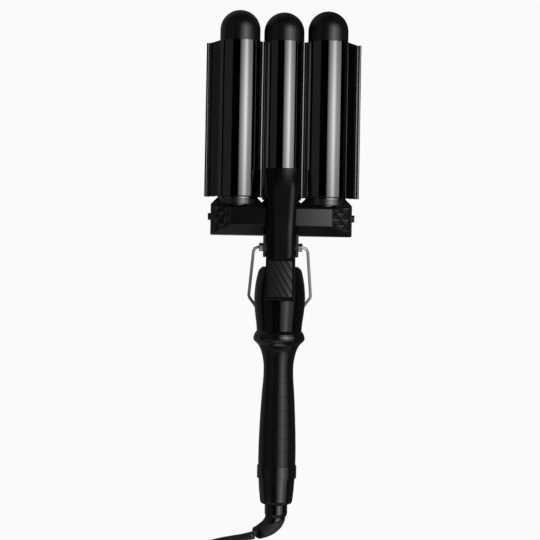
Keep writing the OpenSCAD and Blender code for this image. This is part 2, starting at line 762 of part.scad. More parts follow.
module housing_back() color([0.1, 0.1, 0.1]) place() difference() {
    union() {
        difference() {
            back_block(0);
            back_block(housing_wall);
        }
        intersection() {
            back_block(0);
            union() {
                recess_walls(-recess_deep - housing_wall, recess_deep + housing_wall);
                translate([-recess_w / 2 - housing_wall, housing_top - recess_cut - housing_wall,
                           -housing_back_z])
                    cube([recess_w + 2 * housing_wall, recess_cut + housing_wall, housing_back_z]);
            }
        }
        for (p = screw_places) translate([p[0], p[1], -housing_back_z])
            cylinder(h = housing_back_z, r = boss_r + 1.4);
        translate([-tongue_w / 2, housing_top - housing_wall, -housing_back_z])
            cube([tongue_w, tongue_len + housing_wall, housing_back_z - cover_out + 2.8]);
    }
    housing_holes();
    bar(cover_out + 2 * seat_clear, jaw_y - 0.5, jaw_y + tongue_len + 10);
    for (p = screw_places) translate([p[0], p[1], -housing_back_z - 1]) {
        cylinder(h = housing_back_z + 2, d = housing_shank_d + 2 * run_clear);
        cylinder(h = head_deep + 1.4 + 1, d = housing_screw_d + 2 * seat_clear);
    }
    for (s = [0, 1]) mirror([s, 0, 0]) translate([housing_w / 2 - side_hole, screw_y, screw_z])
        rotate([0, 90, 0]) cylinder(h = 2 * side_hole, d = side_screw_d / 2 + 2 * run_clear);
}

module housing_screws() color("dimgray") place() for (p = screw_places) translate([p[0], p[1], 0]) {
    translate([0, 0, -housing_back_z + 0.4]) cylinder(h = head_deep + 1 - 0.4 + 0.4, d = housing_screw_d);
    translate([0, 0, -housing_back_z + head_deep])
        cylinder(h = housing_back_z - head_deep + housing_front_z / 2 - 1, d = housing_shank_d);
}

module side_screws() color([0.1, 0.1, 0.1]) place() for (s = [0, 1]) mirror([s, 0, 0])
    translate([housing_w / 2, screw_y, screw_z]) rotate([0, 90, 0]) {
        cylinder(h = side_screw_out, d = side_screw_d);
        translate([0, 0, -5]) cylinder(h = 5, d = side_screw_d / 2);
    }

module end_cover() on_slope() {
    step = (band_h + 5) / pyramid_rows;
    translate([0, 0, -end_cover_t]) linear_extrude(end_cover_t) end_plate_outline(0);
    intersection() {
        linear_extrude(2 * pyramid_h) end_plate_outline(0);
        union() for (k = [0:pyramid_columns - 1]) for (i = [0:pyramid_rows])
            let(far = slope_len - 1 - (k + 1) * step / 2,
                up = (i - (pyramid_rows - k % 2) / 2) * step - 1.4)
            translate([far, up, -0.2])
            cylinder(h = pyramid_h + 0.2, r1 = 0.47 * step, r2 = 0.3, $fn = 4);
    }
}

module right_end_cover() color([0.16, 0.16, 0.16]) place() end_cover();
module left_end_cover() color([0.16, 0.16, 0.16]) place() mirror([1, 0, 0]) end_cover();

module collar(x) color([0.14, 0.14, 0.14]) place() translate([x, 0, 0]) difference() {
    union() {
        bar(plug_r - 1, collar_y, collar_step_y + 0.3);
        bar(collar_r, collar_step_y + 0.3, jaw_y);
        bar(plug_r, jaw_y, jaw_y + spigot_len);
    }
    bar(plug_r - dome_wall, collar_y - 1, jaw_y + spigot_len + 1);
}
module left_collar() collar(-barrel_pitch);
module right_collar() collar(barrel_pitch);

// ---- hinge ----

module yoke_bracket() color([0.2, 0.2, 0.21]) place() difference() {
    union() {
        translate([-yoke_outer / 2, yoke_y, -neck_floor_z])
            cube([yoke_outer, housing_y - yoke_y, 2 * neck_floor_z]);
        for (s = [0, 1]) mirror([s, 0, 0]) translate([yoke_inner / 2, yoke_y, 0])
            cube([cheek_t, housing_y - yoke_y, pin_z + cheek_over]);
    }
    bar(neck_d / 2 + seat_clear, yoke_y - 1, housing_y + 1);
    translate([-yoke_outer, pin_y, pin_z]) rotate([0, 90, 0])
        cylinder(h = 2 * yoke_outer, d = pin_d + 2 * run_clear);
}

module neck_tube() color("dimgray") place() along(shoulder_y - neck_in, housing_y + 6)
    ring(neck_d / 2 - neck_wall, neck_d / 2);

module hinge_pin() color("silver") place()
    translate([-yoke_outer / 2 - nut_len, pin_y, pin_z]) rotate([0, 90, 0]) difference() {
        cylinder(h = yoke_outer + 2 * nut_len, d = pin_d);
        translate([0, 0, -1]) cylinder(h = yoke_outer + 2 * nut_len + 2, d = pin_bore_d);
    }

module pin_nuts() color("silver") place() for (s = [0, 1]) mirror([s, 0, 0])
    translate([yoke_outer / 2, pin_y, pin_z]) rotate([0, 90, 0]) difference() {
        cylinder(h = nut_len, d = nut_d);
        translate([0, 0, -1]) cylinder(h = nut_len + 2, d = pin_d + 2 * run_clear);
    }

// ---- stand ----

stand_drop = pin_z - stand_cross_z;
stand_leg = norm([stand_reach, stand_drop]);
function on_leg(x, s) = [x, pin_y - stand_reach * s, pin_z - stand_drop * s];
stand_right = [
    [yoke_outer / 2 + nut_len - 7, pin_y, pin_z],
    [stand_top_w / 2 - stand_corner, pin_y, pin_z],
    on_leg(stand_top_w / 2 - 0.3 * stand_corner, 0.3 * stand_corner / stand_leg),
    on_leg(stand_top_w / 2, stand_corner / stand_leg),
    on_leg(stand_w / 2, 0.72),
    on_leg(stand_w / 2 - 0.6, 0.755),
    on_leg(stand_cross_w / 2 + 2, 0.97),
    on_leg(stand_cross_w / 2 - 1, 1)];

module wire_stand() color("gainsboro") place()
    tube(concat(stand_right, [for (i = [len(stand_right) - 1:-1:0])
        [-stand_right[i][0], stand_right[i][1], stand_right[i][2]]]), stand_wire / 2, 20);

// ---- head ----

head_r = head_d / 2;
head_side = smooth([[head_r - 2.5, 0], [head_r - 1.9, 0.14 * head_len], [head_r - 0.8, 0.29 * head_len],
    [head_r, 0.5 * head_len], [head_r - 0.8, 0.72 * head_len], [head_r - 2, 0.845 * head_len],
    [head_r - 3.2, 0.94 * head_len], [head_r - 4.7, 0.975 * head_len], [head_r - 6.2, head_len]], 2);

module head_solid(i) translate([0, head_y, 0]) turned() polygon(concat(
    [[0, head_len - i], [0, i]],
    [for (p = head_side) [p[0] - i, max(i, min(head_len - i, p[1]))]]));

module head_shape() difference() {
    intersection() {
        head_solid(0);
        translate([-head_d, 0, -head_flat_z]) cube([2 * head_d, 400, head_d * 2]);
    }
    intersection() {
        head_solid(head_wall);
        translate([-head_d, 0, head_wall - head_flat_z]) cube([2 * head_d, 400, head_d * 2]);
    }
    bar(core_d / 2 + seat_clear, head_y - 1, head_y + head_wall + 1);
    bar(neck_d / 2 + seat_clear, shoulder_y - head_wall - 1, shoulder_y + 1);
}

module head_front_shell() color([0.04, 0.04, 0.045]) place() front_half() head_shape();

module head_back_shell() color([0.04, 0.04, 0.045]) place() difference() {
    back_half() head_shape();
    translate([0, power_y, -head_flat_z - 1]) cylinder(h = head_wall + 2, d = power_d + 2 * seat_clear);
    for (x = [-1, 1]) translate([x * temp_x, temp_y, -head_flat_z - 1])
        cylinder(h = head_wall + 2, d = temp_d + 2 * seat_clear);
    translate([-window_w / 2, window_y, -head_flat_z - 1]) cube([window_w, window_len, 1 + 1.4]);
}

module button(x, y, d) color([0.3, 0.3, 0.3]) place() translate([x, y, 0]) {
    inner = -head_flat_z + head_wall + 0.2;
    translate([0, 0, -head_flat_z - button_out]) cylinder(h = inner + head_flat_z + button_out, d = d);
    translate([0, 0, inner]) cylinder(h = button_flange_t, d = d + 2 * button_flange);
}
module power_button() button(0, power_y, power_d);
module temp_up_button() button(temp_x, temp_y, temp_d);
module temp_down_button() button(-temp_x, temp_y, temp_d);

module display_window() color([0.1, 0.12, 0.14]) place()
    translate([-window_w / 2 + seat_clear, window_y + seat_clear, -head_flat_z])
    cube([window_w - 2 * seat_clear, window_len - 2 * seat_clear, 1.4]);

module control_board() color("darkgreen") place() {
    switch_h = head_flat_z + board_z - head_wall - 0.2 - button_flange_t - button_travel - 0.1;
    translate([-board_w / 2, board_y, board_z]) cube([board_w, board_len, board_t]);
    for (p = [[0, power_y], [temp_x, temp_y], [-temp_x, temp_y]]) translate([p[0], p[1], board_z - switch_h])
        cylinder(h = switch_h, d = switch_d);
}

// ---- handle ----

core_hole_r = core_d / 2 + seat_clear;
grip_r = grip_d / 2;
waist_r = waist_d / 2;
flange_r = flange_d / 2;

module collar_ring() color([0.05, 0.05, 0.05]) place() translate([0, flange_y, 0]) turned() polygon(concat(
    [[core_hole_r, flange_len], [core_hole_r, 0]],
    smooth([[flange_r - 4.1, 0], [flange_r - 2.7, 0.14 * flange_len], [flange_r - 0.4, 0.34 * flange_len],
            [flange_r, 0.52 * flange_len], [flange_r - 0.7, 0.78 * flange_len],
            [flange_r - 2.3, flange_len]], 2)));

grip_side = smooth([[grip_r, 0], [grip_r, 0.15 * grip_len], [grip_r - 0.5, 0.32 * grip_len],
    [grip_r - 1.1, 0.46 * grip_len], [grip_r - 1.8, 0.59 * grip_len], [waist_r + 0.2, 0.72 * grip_len],
    [waist_r, 0.8 * grip_len], [waist_r + 0.3, 0.86 * grip_len], [waist_r + 1.5, 0.925 * grip_len],
    [waist_r + 2.8, 0.967 * grip_len], [waist_r + 4.4, grip_len]], 2);

module grip_sleeve() color([0.06, 0.06, 0.06]) place() translate([0, grip_y, 0]) difference() {
    turned() polygon(concat([[core_hole_r, grip_len], [core_hole_r, 0]], grip_side));
    side = [for (p = grip_side) [p[1], p[0]]];
    for (i = [1:1:grip_grooves]) let(y = 0.4 + i * groove_pitch, r = lookup(y, side))
        along(y - groove_w / 2, y + groove_w / 2) ring(r - 0.3, r + 2);
}

module handle_core() color("dimgray") place()
    along(core_y, head_y + 8) ring(core_d / 2 - core_wall, core_d / 2);

module end_ring() color([0.05, 0.05, 0.05]) place() along(ring_y, grip_y) ring(core_hole_r, end_ring_d / 2);

module end_cap() color([0.07, 0.07, 0.07]) place() difference() {
    turned() polygon([[0, ring_y], [0, 0], [cap_end_d / 2 - 2.4, 0], [cap_end_d / 2 - 0.7, 0.8],
                      [cap_end_d / 2, 2.6], [cap_d / 2 - 0.5, 0.6 * cap_len], [cap_d / 2, cap_len]]);
    bar(core_hole_r, mouth_t, ring_y + 1);
    bar(swivel_neck_d / 2 + run_clear, -1, mouth_t + 1);
}

module swivel_ball() color([0.03, 0.03, 0.03]) place() {
    turned() polygon([[0, -0.3], [0, -swivel_out], [swivel_d / 2 - 1.4, -swivel_out],
                      [swivel_d / 2 - 0.5, 0.9 - swivel_out], [swivel_d / 2, 2.8 - swivel_out],
                      [swivel_d / 2, -0.3]]);
    bar(swivel_neck_d / 2, -0.3, mouth_t + 0.3);
    bar(swivel_flange_d / 2, mouth_t + 0.3, mouth_t + 2.5);
    bar(swivel_stub_d / 2, mouth_t + 2.5, mouth_t + 11);
}

module swivel_socket() color("ivory") place() along(socket_y, socket_y + socket_len)
    ring(swivel_stub_d / 2 + run_clear, core_d / 2 - core_wall - seat_clear);

module mains_leads() color("brown") place() for (s = [-1, 1]) tube([
    [s * 5.6, socket_y + socket_len, 0], [s * 5.6, head_y + 4, 0],
    [s * 5.6, board_y + 4, board_z + board_t + 1],
    [s * 5.6, board_y + 9, board_z + board_t + 1]], 0.9, 8);

module heater_leads() color("firebrick") place() for (s = [-1, 1]) tube([
    [s * 3.4, board_y + board_len - 12, board_z + board_t + 1],
    [s * 3.4, board_y + board_len - 9, board_z + board_t + 1],
    [s * 3.4, shoulder_y - neck_in - 1.4, -3], [s * 3.4, housing_y + 7, -3], [s * 6, housing_y + 9.6, -3],
    [s * (barrel_pitch - 3), housing_y + 9.6, -3], [s * barrel_pitch, collar_y - 1, -1],
    [s * barrel_pitch, collar_y + 4, 0], [s * barrel_pitch, heater_y - 0.3, 0]], 0.9, 8);

// ---- cord ----

turns_in_layer = coil_turns / coil_layers;
turn_step = cord_d + coil_gap;
coil_out = coil_r + turns_in_layer * turn_step / 2;
coil_start = lead_route[len(lead_route) - 1];
coil_y = coil_start[1] - coil_out;
coil_z = tie_t + 0.3 + cord_d / 2 - housing_back_z;

// the coil's radius and height after s turns: in and out at a steady rate, climbing where it reverses
function coil_reach(s) = let(m = s - 2 * turns_in_layer * floor(s / (2 * turns_in_layer)))
    coil_out - turn_step * (m < turns_in_layer ? m : 2 * turns_in_layer - m);
function coil_height(s) = coil_z
    + turn_step * (ease(2 * (s - turns_in_layer) + 0.5) + ease(2 * (s - 2 * turns_in_layer) + 0.5)
                   + ease(2 * (s - 3 * turns_in_layer) + 0.5));
function coil_point(s) = [coil_x + coil_reach(s) * cos(90 + 360 * s),
                          coil_y + coil_reach(s) * sin(90 + 360 * s), coil_height(s)];
coil_path = concat([[coil_x + cord_d, coil_start[1], coil_z]],
    [for (i = [0:24 * coil_turns]) coil_point(i / 24)],
    [coil_point(coil_turns) + [cord_d, 0, 0]]);

// the least distance between turns that aren't neighbours along the cord, less the cord's diameter
function least_gap(p) =
    min([for (i = [0:len(p) - 13]) min([for (j = [i + 12:len(p) - 1]) norm(p[i] - p[j])])]) - cord_d;
echo(coil_gap_to_itself = least_gap(coil_path));

// the boot leaves the swivel straight, then follows its route
boot_straight = 1.4;
module cord_boot() color([0.05, 0.05, 0.05]) place()
    tube(concat([[0, -swivel_out, 0], [0, -swivel_out - boot_straight, 0]], smooth(boot_route, 3)),
         concat([boot_radii[0], boot_radii[0]],
                [for (i = [0:3 * (len(boot_route) - 1)])
                    lookup(i / 3, [for (k = [0:len(boot_radii) - 1]) [k, boot_radii[k]]])]), 16);

lead_path = concat([for (i = [0:len(lead_route) - 4]) lead_route[i]],
    [[coil_x + 2 * cord_d, coil_start[1], coil_z], [coil_x + cord_d, coil_start[1], coil_z]]);
module cord_lead() color([0.07, 0.07, 0.07]) place() tube(smooth(lead_path, 2), cord_d / 2, 10);

module cord_coil() color([0.07, 0.07, 0.07]) place() tube(coil_path, cord_d / 2, 6);

module cord_tail() color([0.07, 0.07, 0.07]) place()
    tube(smooth([for (i = [1:len(tail_route) - 1]) tail_route[i]], 2), cord_d / 2, 10);

// a band round the coil's bundle of turns, at its left side
module coil_tie() color([0.12, 0.12, 0.12]) place() {
    far = coil_out + cord_d / 2 + 0.3;
    near = coil_out - turns_in_layer * turn_step - cord_d / 2 - 1.2;
    high = coil_z + (coil_layers - 1) * turn_step + cord_d / 2 + 0.3;
    low = tie_t - housing_back_z;
    translate([coil_x, coil_y + tie_w / 2, 0]) rotate([90, 0, 0]) linear_extrude(tie_w) difference() {
        translate([-far - tie_t, low - tie_t]) square([far - near + 2 * tie_t, high - low + 2 * tie_t]);
        translate([-far, low]) square([far - near, high - low]);
    }
}

plug_body_x = plug_from[0] + relief_len;
module plug_body() color([0.07, 0.07, 0.07]) place() translate([0, plug_from[1], plug_from[2]]) {
    translate([plug_from[0], 0, 0]) rotate([0, 90, 0])
        cylinder(h = relief_len, r1 = cord_d / 2 + 1.2, r2 = plug_t / 2 - 0.6);
    hull() for (y = [-1, 1]) {
        translate([plug_body_x - 0.5, y * (plug_w / 2 - 5.5), 0]) rotate([0, 90, 0])
            cylinder(h = 1, r = 5.5, $fn = 32);
        translate([plug_body_x + 12, y * (plug_w - plug_t) / 2, 0]) rotate([0, 90, 0])
            cylinder(h = plug_len - 12, d = plug_t, $fn = 32);
    }
}

blade_w = 6.35;
blade_t = 1.5;
module plug_blades() color("silver") place() for (y = [-1, 1])
    translate([plug_body_x + plug_len, plug_from[1] + y * blade_pitch / 2 - blade_t / 2,
               plug_from[2] - blade_w / 2])
    cube([blade_len, blade_t, blade_w]);

front_jaw_plate();
front_dome_cap();
front_heat_spreader();
front_heater_strip();
front_end_plug();
lever_screws();
lever_arm();
thumb_pad();
torsion_spring();
back_jaw_plate();
left_dome_cap();
right_dome_cap();
left_heat_spreader();
right_heat_spreader();
left_heater_strip();
right_heater_strip();
temperature_sensor();
left_collar();
right_collar();
housing_front();
housing_back();
left_end_cover();
right_end_cover();
side_screws();
housing_screws();
yoke_bracket();
neck_tube();
hinge_pin();
pin_nuts();
head_front_shell();
head_back_shell();
collar_ring();
handle_core();
grip_sleeve();
end_ring();
end_cap();
control_board();
display_window();
heater_leads();
mains_leads();
swivel_socket();
power_button();
temp_up_button();
temp_down_button();
wire_stand();
swivel_ball();
cord_boot();
cord_lead();
cord_coil();
cord_tail();
coil_tie();
plug_body();
plug_blades();
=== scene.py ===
import json
import math

import bmesh
import bpy
from mathutils import Matrix, Vector


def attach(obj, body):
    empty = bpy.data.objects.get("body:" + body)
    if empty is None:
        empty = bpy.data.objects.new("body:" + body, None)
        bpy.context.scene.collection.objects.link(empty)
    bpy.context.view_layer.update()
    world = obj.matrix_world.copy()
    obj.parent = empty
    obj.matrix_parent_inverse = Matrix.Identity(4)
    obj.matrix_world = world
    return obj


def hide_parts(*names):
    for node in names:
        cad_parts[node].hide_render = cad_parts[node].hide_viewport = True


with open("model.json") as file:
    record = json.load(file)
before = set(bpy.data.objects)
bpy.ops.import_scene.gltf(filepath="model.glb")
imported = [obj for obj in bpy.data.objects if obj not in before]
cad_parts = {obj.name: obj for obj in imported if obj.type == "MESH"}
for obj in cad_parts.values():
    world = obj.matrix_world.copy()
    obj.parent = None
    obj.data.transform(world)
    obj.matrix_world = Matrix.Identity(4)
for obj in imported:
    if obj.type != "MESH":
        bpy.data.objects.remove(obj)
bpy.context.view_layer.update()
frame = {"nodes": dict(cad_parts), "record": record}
nodes = frame["nodes"]
print("frame loaded:", len(nodes), "nodes")

# measures on the tool are in millimetres: x across, the station along it from the end cap's mouth,
# and z above the barrels' axes
tool = {"middleStation": 190.7, "axisHeight": 22.0}


def place(x, station, z):
    # from millimetres on the tool to metres in the frame
    return Vector((x, station - tool["middleStation"], z + tool["axisHeight"])) / 1000


def addObject(name, data):
    thing = bpy.data.objects.new(name, data)
    bpy.context.scene.collection.objects.link(thing)
    return thing


# the camera looks straight down, with a slight roll and pitch
camera = {
    "lens": 93.95, "sensor": 36.0, "distance": 1.12, "clip": (0.05, 20.0),
    "lookAt": (-8.1, 185.2, 0.0), "roll": 1.03, "pitch": 0.6,
}


def addCamera():
    data = bpy.data.cameras.new("camera")
    data.lens, data.sensor_width = camera["lens"], camera["sensor"]
    data.clip_start, data.clip_end = camera["clip"]
    cam = addObject("camera", data)
    roll = Matrix.Rotation(math.radians(camera["roll"]), 4, "Z")
    turn = roll @ Matrix.Rotation(math.radians(camera["pitch"]), 4, "X")
    spot = place(*camera["lookAt"]) + turn.to_3x3() @ Vector((0, 0, camera["distance"]))
    cam.matrix_world = Matrix.Translation(spot) @ turn
    bpy.context.scene.camera = cam


addCamera()


# small helpers for node trees
def grey(value):
    return (value, value, value, 1)


def mathNode(tree, kind, a, b=None, clamp=False):
    node = tree.nodes.new("ShaderNodeMath")
    node.operation = kind
    node.use_clamp = clamp
    for socket, value in zip(node.inputs, (a, b)):
        if isinstance(value, (int, float)):
            socket.default_value = value
        elif value is not None:
            tree.links.new(value, socket)
    return node.outputs[0]


def bell(tree, value, middle, width):
    # 1 at the middle, falling off to both sides
    away = mathNode(tree, "DIVIDE", mathNode(tree, "SUBTRACT", value, middle), width)
    power = mathNode(tree, "MULTIPLY", mathNode(tree, "MULTIPLY", away, away), -1.0)
    return mathNode(tree, "POWER", math.e, power)


def mapRange(tree, value, fromMin, fromMax, toMin=0.0, toMax=1.0):
    node = tree.nodes.new("ShaderNodeMapRange")
    for label, number in (("From Min", fromMin), ("From Max", fromMax), ("To Min", toMin), ("To Max", toMax)):
        node.inputs[label].default_value = number
    tree.links.new(value, node.inputs["Value"])
    return node.outputs["Result"]


def ownPlace(tree, stretch=None):
    # the object's own place, in metres, stretched along an axis if asked
    coords = tree.nodes.new("ShaderNodeTexCoord").outputs["Object"]
    if stretch is None:
        return coords
    scaled = tree.nodes.new("ShaderNodeVectorMath")
    scaled.operation = "MULTIPLY"
    scaled.inputs[1].default_value = stretch
    tree.links.new(coords, scaled.inputs[0])
    return scaled.outputs[0]


def split(tree, vector):
    node = tree.nodes.new("ShaderNodeSeparateXYZ")
    tree.links.new(vector, node.inputs[0])
    return node.outputs


def bareMaterial(name):
    # a material with nothing but its output
    mat = bpy.data.materials.new(name)
    mat.use_nodes = True
    tree = mat.node_tree
    tree.nodes.clear()
    return mat, tree, tree.nodes.new("ShaderNodeOutputMaterial").inputs["Surface"]


# the floor is white for the camera; in reflections it is dim on the left and black on the right
studio = {
    "floorSize": 6.0, "floorWhite": 1.063, "floorGlow": 0.9, "paper": 0.05,
    "glossyLeft": 0.16, "glossyRight": 0.0, "glossyTurn": 0.05,
}


def addFloor():
    mesh = bpy.data.meshes.new("floor")
    h = studio["floorSize"] / 2
    mesh.from_pydata([(-h, -h, 0), (h, -h, 0), (h, h, 0), (-h, h, 0)], [], [(0, 1, 2, 3)])
    floor = addObject("floor", mesh)
    mat, tree, surface = bareMaterial("floorPaper")
    paper = tree.nodes.new("ShaderNodeBsdfDiffuse")
    paper.inputs["Color"].default_value = grey(studio["paper"])
    glow = tree.nodes.new("ShaderNodeEmission")
    glow.inputs["Color"].default_value = grey(studio["floorWhite"])
    ray = tree.nodes.new("ShaderNodeLightPath").outputs
    side = mapRange(tree, split(tree, ownPlace(tree))["X"], -studio["glossyTurn"], studio["glossyTurn"],
                    studio["glossyLeft"], studio["glossyRight"])
    glossy = mathNode(tree, "MULTIPLY", ray["Is Glossy Ray"], side)
    seen = mathNode(tree, "MAXIMUM", ray["Is Camera Ray"], ray["Is Transmission Ray"])
    share = mathNode(tree, "MULTIPLY", mathNode(tree, "MAXIMUM", glossy, seen), studio["floorGlow"])
    mix = tree.nodes.new("ShaderNodeMixShader")
    tree.links.new(share, mix.inputs["Fac"])
    tree.links.new(paper.outputs[0], mix.inputs[1])
    tree.links.new(glow.outputs[0], mix.inputs[2])
    tree.links.new(mix.outputs[0], surface)
    mesh.materials.append(mat)


addFloor()


# a big softbox to the right, brightest along its middle, and a dim card to the left; glow is (degrees from
# straight up, radiance), and the hot spot is in metres along the tool from its middle
softbox = {
    "direction": 35.0, "distance": 1.3, "length": 2.0, "from": 2.0, "to": 68.0,
    "glow": [(2, 0.5), (20, 3.0), (34, 6.5), (46, 2.5), (68, 1.5)],
    "hotSpot": 0.27, "spread": 0.16, "least": 0.45,
}
leftCard = {"direction": -58.0, "distance": 1.2, "size": (1.0, 2.0), "radiance": 0.11}
# a low card past the handle's end, for the faces that lean that way
lowCard = {"centre": (0.12, -1.3, 0.26), "size": (1.0, 0.36), "radiance": 1.3}


def addCard(name, corners, material, spot=Matrix()):
    mesh = bpy.data.meshes.new(name)
    mesh.from_pydata(corners, [], [(0, 1, 2, 3)])
    mesh.materials.append(material)
    card = addObject(name, mesh)
    card.matrix_world = spot
    card.visible_camera = False


def addFacingCard(name, direction, distance, width, length, material):
    # a flat card facing the tool, its direction in degrees from straight up, positive to the right
    w, h, a = width / 2, length / 2, math.radians(direction)
    spot = place(0, tool["middleStation"], 0) + Vector((math.sin(a), 0, math.cos(a))) * distance
    corners = [(-w, -h, 0), (-w, h, 0), (w, h, 0), (w, -h, 0)]
    addCard(name, corners, material, Matrix.Translation(spot) @ Matrix.Rotation(a, 4, "Y"))


def glowMaterial(name, radiance):
    mat, tree, surface = bareMaterial(name)
    glow = tree.nodes.new("ShaderNodeEmission")
    glow.inputs["Strength"].default_value = radiance
    tree.links.new(glow.outputs[0], surface)
    return mat, tree, glow.inputs["Strength"]


def addSoftbox():
    box = softbox
    most = max(radiance for _, radiance in box["glow"])
    mat, tree, strength = glowMaterial("softboxGlow", most)

    def onCard(angle):
        return box["distance"] * math.tan(math.radians(angle - box["direction"]))

    spot = split(tree, ownPlace(tree))
    near, far = onCard(box["from"]), onCard(box["to"])
    ramp = tree.nodes.new("ShaderNodeValToRGB")
    tree.links.new(mapRange(tree, spot["X"], near, far), ramp.inputs["Fac"])
    points = ramp.color_ramp.elements
    for i, (angle, radiance) in enumerate(box["glow"]):
        across = (onCard(angle) - near) / (far - near)
        if i > 1:
            points.new(across)  # a ramp starts with two points
        points[i].position = across
        points[i].color = grey(radiance / most)
    # brightest at the hot spot, falling off to both ends
    hill = bell(tree, spot["Y"], box["hotSpot"], box["spread"])
    share = mathNode(tree, "ADD", mathNode(tree, "MULTIPLY", hill, 1 - box["least"]), box["least"])
    power = mathNode(tree, "MULTIPLY", mathNode(tree, "MULTIPLY", share, most), ramp.outputs["Color"])
    tree.links.new(power, strength)
    addFacingCard("softbox", box["direction"], box["distance"], 2 * far, box["length"], mat)


def addLeftCard():
    glow = glowMaterial("leftCardGlow", leftCard["radiance"])[0]
    addFacingCard("leftCard", leftCard["direction"], leftCard["distance"], *leftCard["size"], glow)


def addLowCard():
    glow = glowMaterial("lowCardGlow", lowCard["radiance"])[0]
    x, y, z = lowCard["centre"]
    w, h = lowCard["size"][0] / 2, lowCard["size"][1] / 2
    addCard("lowCard", [(x - w, y, z - h), (x + w, y, z - h), (x + w, y, z + h), (x - w, y, z + h)], glow)


addSoftbox()
addLeftCard()
addLowCard()

# the sky is white to the camera, and dark to the rest but for two bands across the tool, which the views
# from its ends need; a band is (middle, width, radiance)
sky = {"dark": 0.0006, "bands": [(-0.68, 0.1, 0.35), (0.68, 0.1, 0.08)], "white": 0.95}


def addSky():
    world = bpy.data.worlds.new("studio")
    world.use_nodes = True
    tree = world.node_tree
    upright = split(tree, tree.nodes.new("ShaderNodeTexCoord").outputs["Generated"])["Y"]
    glow = sky["dark"]
    for middle, width, radiance in sky["bands"]:
        band = mathNode(tree, "MULTIPLY", bell(tree, upright, middle, width), radiance)
        glow = mathNode(tree, "ADD", band, glow)
    ray = tree.nodes.new("ShaderNodeLightPath").outputs
    seen = mathNode(tree, "MULTIPLY", ray["Is Camera Ray"], sky["white"])
    background = tree.nodes["Background"].inputs
    background["Color"].default_value = grey(1)
    tree.links.new(mathNode(tree, "MAXIMUM", seen, glow), background["Strength"])
    bpy.context.scene.world = world


addSky()
bpy.context.scene.view_settings.view_transform = "Standard"
print("camera, floor and lights set")


# the mains cord: a lead out of the swivel, a coil of four layers beside the handle, and a tail to the plug
cord = {
    "diameter": 6.5, "sides": 16, "curveSteps": 3,
    "lead": [(-17.4, -26, -4.5), (-23.4, -27.9, -6), (-31, -30, -9), (-40, -32.2, -12.2), (-49, -34.8, -14.6),
             (-58, -38.4, -16.2), (-67, -42.8, -17.1)],
    "turns": 10.5, "layers": 4, "gap": 0.45, "middleRadius": 36.0, "centreX": -90.0, "startY": -47.2,
    "startAngle": 90.0, "climbTurns": 0.5, "perTurn": 40, "tieThickness": 1.0, "tieClear": 0.3,
    "tail": [(-83.5, -137.4, 3.4), (-82.4, -137.4, 3.4), (-81.3, -137.4, 3.4), (-76, -137.4, 2.2),
             (-67, -137.8, -1.6), (-58, -138.4, -6.2), (-49, -139, -10.4), (-41, -139.4, -13),
             (-33, -139.6, -14), (-26.5, -139.6, -14)],
}


def between(p, i, t):
    # a smooth curve through the points, at the share t of the way from point i to the next
    a, b, c, d = p[max(i - 1, 0)], p[i], p[i + 1], p[min(i + 2, len(p) - 1)]
    bend, twist = 2 * a - 5 * b + 4 * c - d, 3 * b - a - 3 * c + d
    return 0.5 * (2 * b + (c - a) * t + bend * t * t + twist * t * t * t)


def smooth(points, steps):
    p = [Vector(q) for q in points]
    return [between(p, i, k / steps) for i in range(len(p) - 1) for k in range(steps)] + [p[-1]]


def ease(t):
    t = max(0.0, min(1.0, t))
    return t * t * (3 - 2 * t)


cord["step"] = cord["diameter"] + cord["gap"]
cord["perLayer"] = cord["turns"] / cord["layers"]
cord["outer"] = cord["middleRadius"] + cord["perLayer"] * cord["step"] / 2
cord["centreY"] = cord["startY"] - cord["outer"]
cord["low"] = cord["tieThickness"] + cord["tieClear"] + cord["diameter"] / 2 - tool["axisHeight"]


def coilPoint(s):
    # s turns into the coil, which goes inward and outward by turns and climbs between the layers
    n = cord["perLayer"]
    m = s % (2 * n)
    reach = cord["outer"] - cord["step"] * (m if m < n else 2 * n - m)
    climbed = sum(ease((s - k * n) / cord["climbTurns"] + 0.5) for k in range(1, cord["layers"]))
    a = math.radians(cord["startAngle"] + 360 * s)
    return Vector((cord["centreX"] + reach * math.cos(a), cord["centreY"] + reach * math.sin(a),
                   cord["low"] + cord["step"] * climbed))


def cordRoute():
    d = cord["diameter"]
    lead = cord["lead"] + [(cord["centreX"] + k * d, cord["startY"], cord["low"]) for k in (2, 1)]
    steps = int(cord["turns"] * cord["perTurn"])
    coil = [coilPoint(k / cord["perTurn"]) for k in range(steps + 1)]
    return smooth(lead, cord["curveSteps"]) + coil + smooth(cord["tail"], cord["curveSteps"])


def faceOutward(mesh):
    bm = bmesh.new()
    bm.from_mesh(mesh)
    bmesh.ops.recalc_face_normals(bm, faces=bm.faces)
    bm.to_mesh(mesh)
    bm.free()


def skinMesh(name, rings, smoothed=True):
    # one closed skin over rings of as many points each, with a flat end at both ends
    mesh = bpy.data.meshes.new(name)
    sides, last = len(rings[0]), len(rings) - 1
    faces = []
    for i in range(last):
        for k in range(sides):
            a, b = i * sides + k, i * sides + (k + 1) % sides
            faces.append((a, b, b + sides, a + sides))
    faces += [tuple(range(sides))[::-1], tuple(last * sides + k for k in range(sides))]
    mesh.from_pydata([p[:] for ring in rings for p in ring], [], faces)
    faceOutward(mesh)
    mesh.polygons.foreach_set("use_smooth", [smoothed] * len(mesh.polygons))
    return mesh


def roundRing(centre, side, up, radius, sides):
    turns = [2 * math.pi * k / sides for k in range(sides)]
    return [centre + (side * math.cos(a) + up * math.sin(a)) * radius for a in turns]


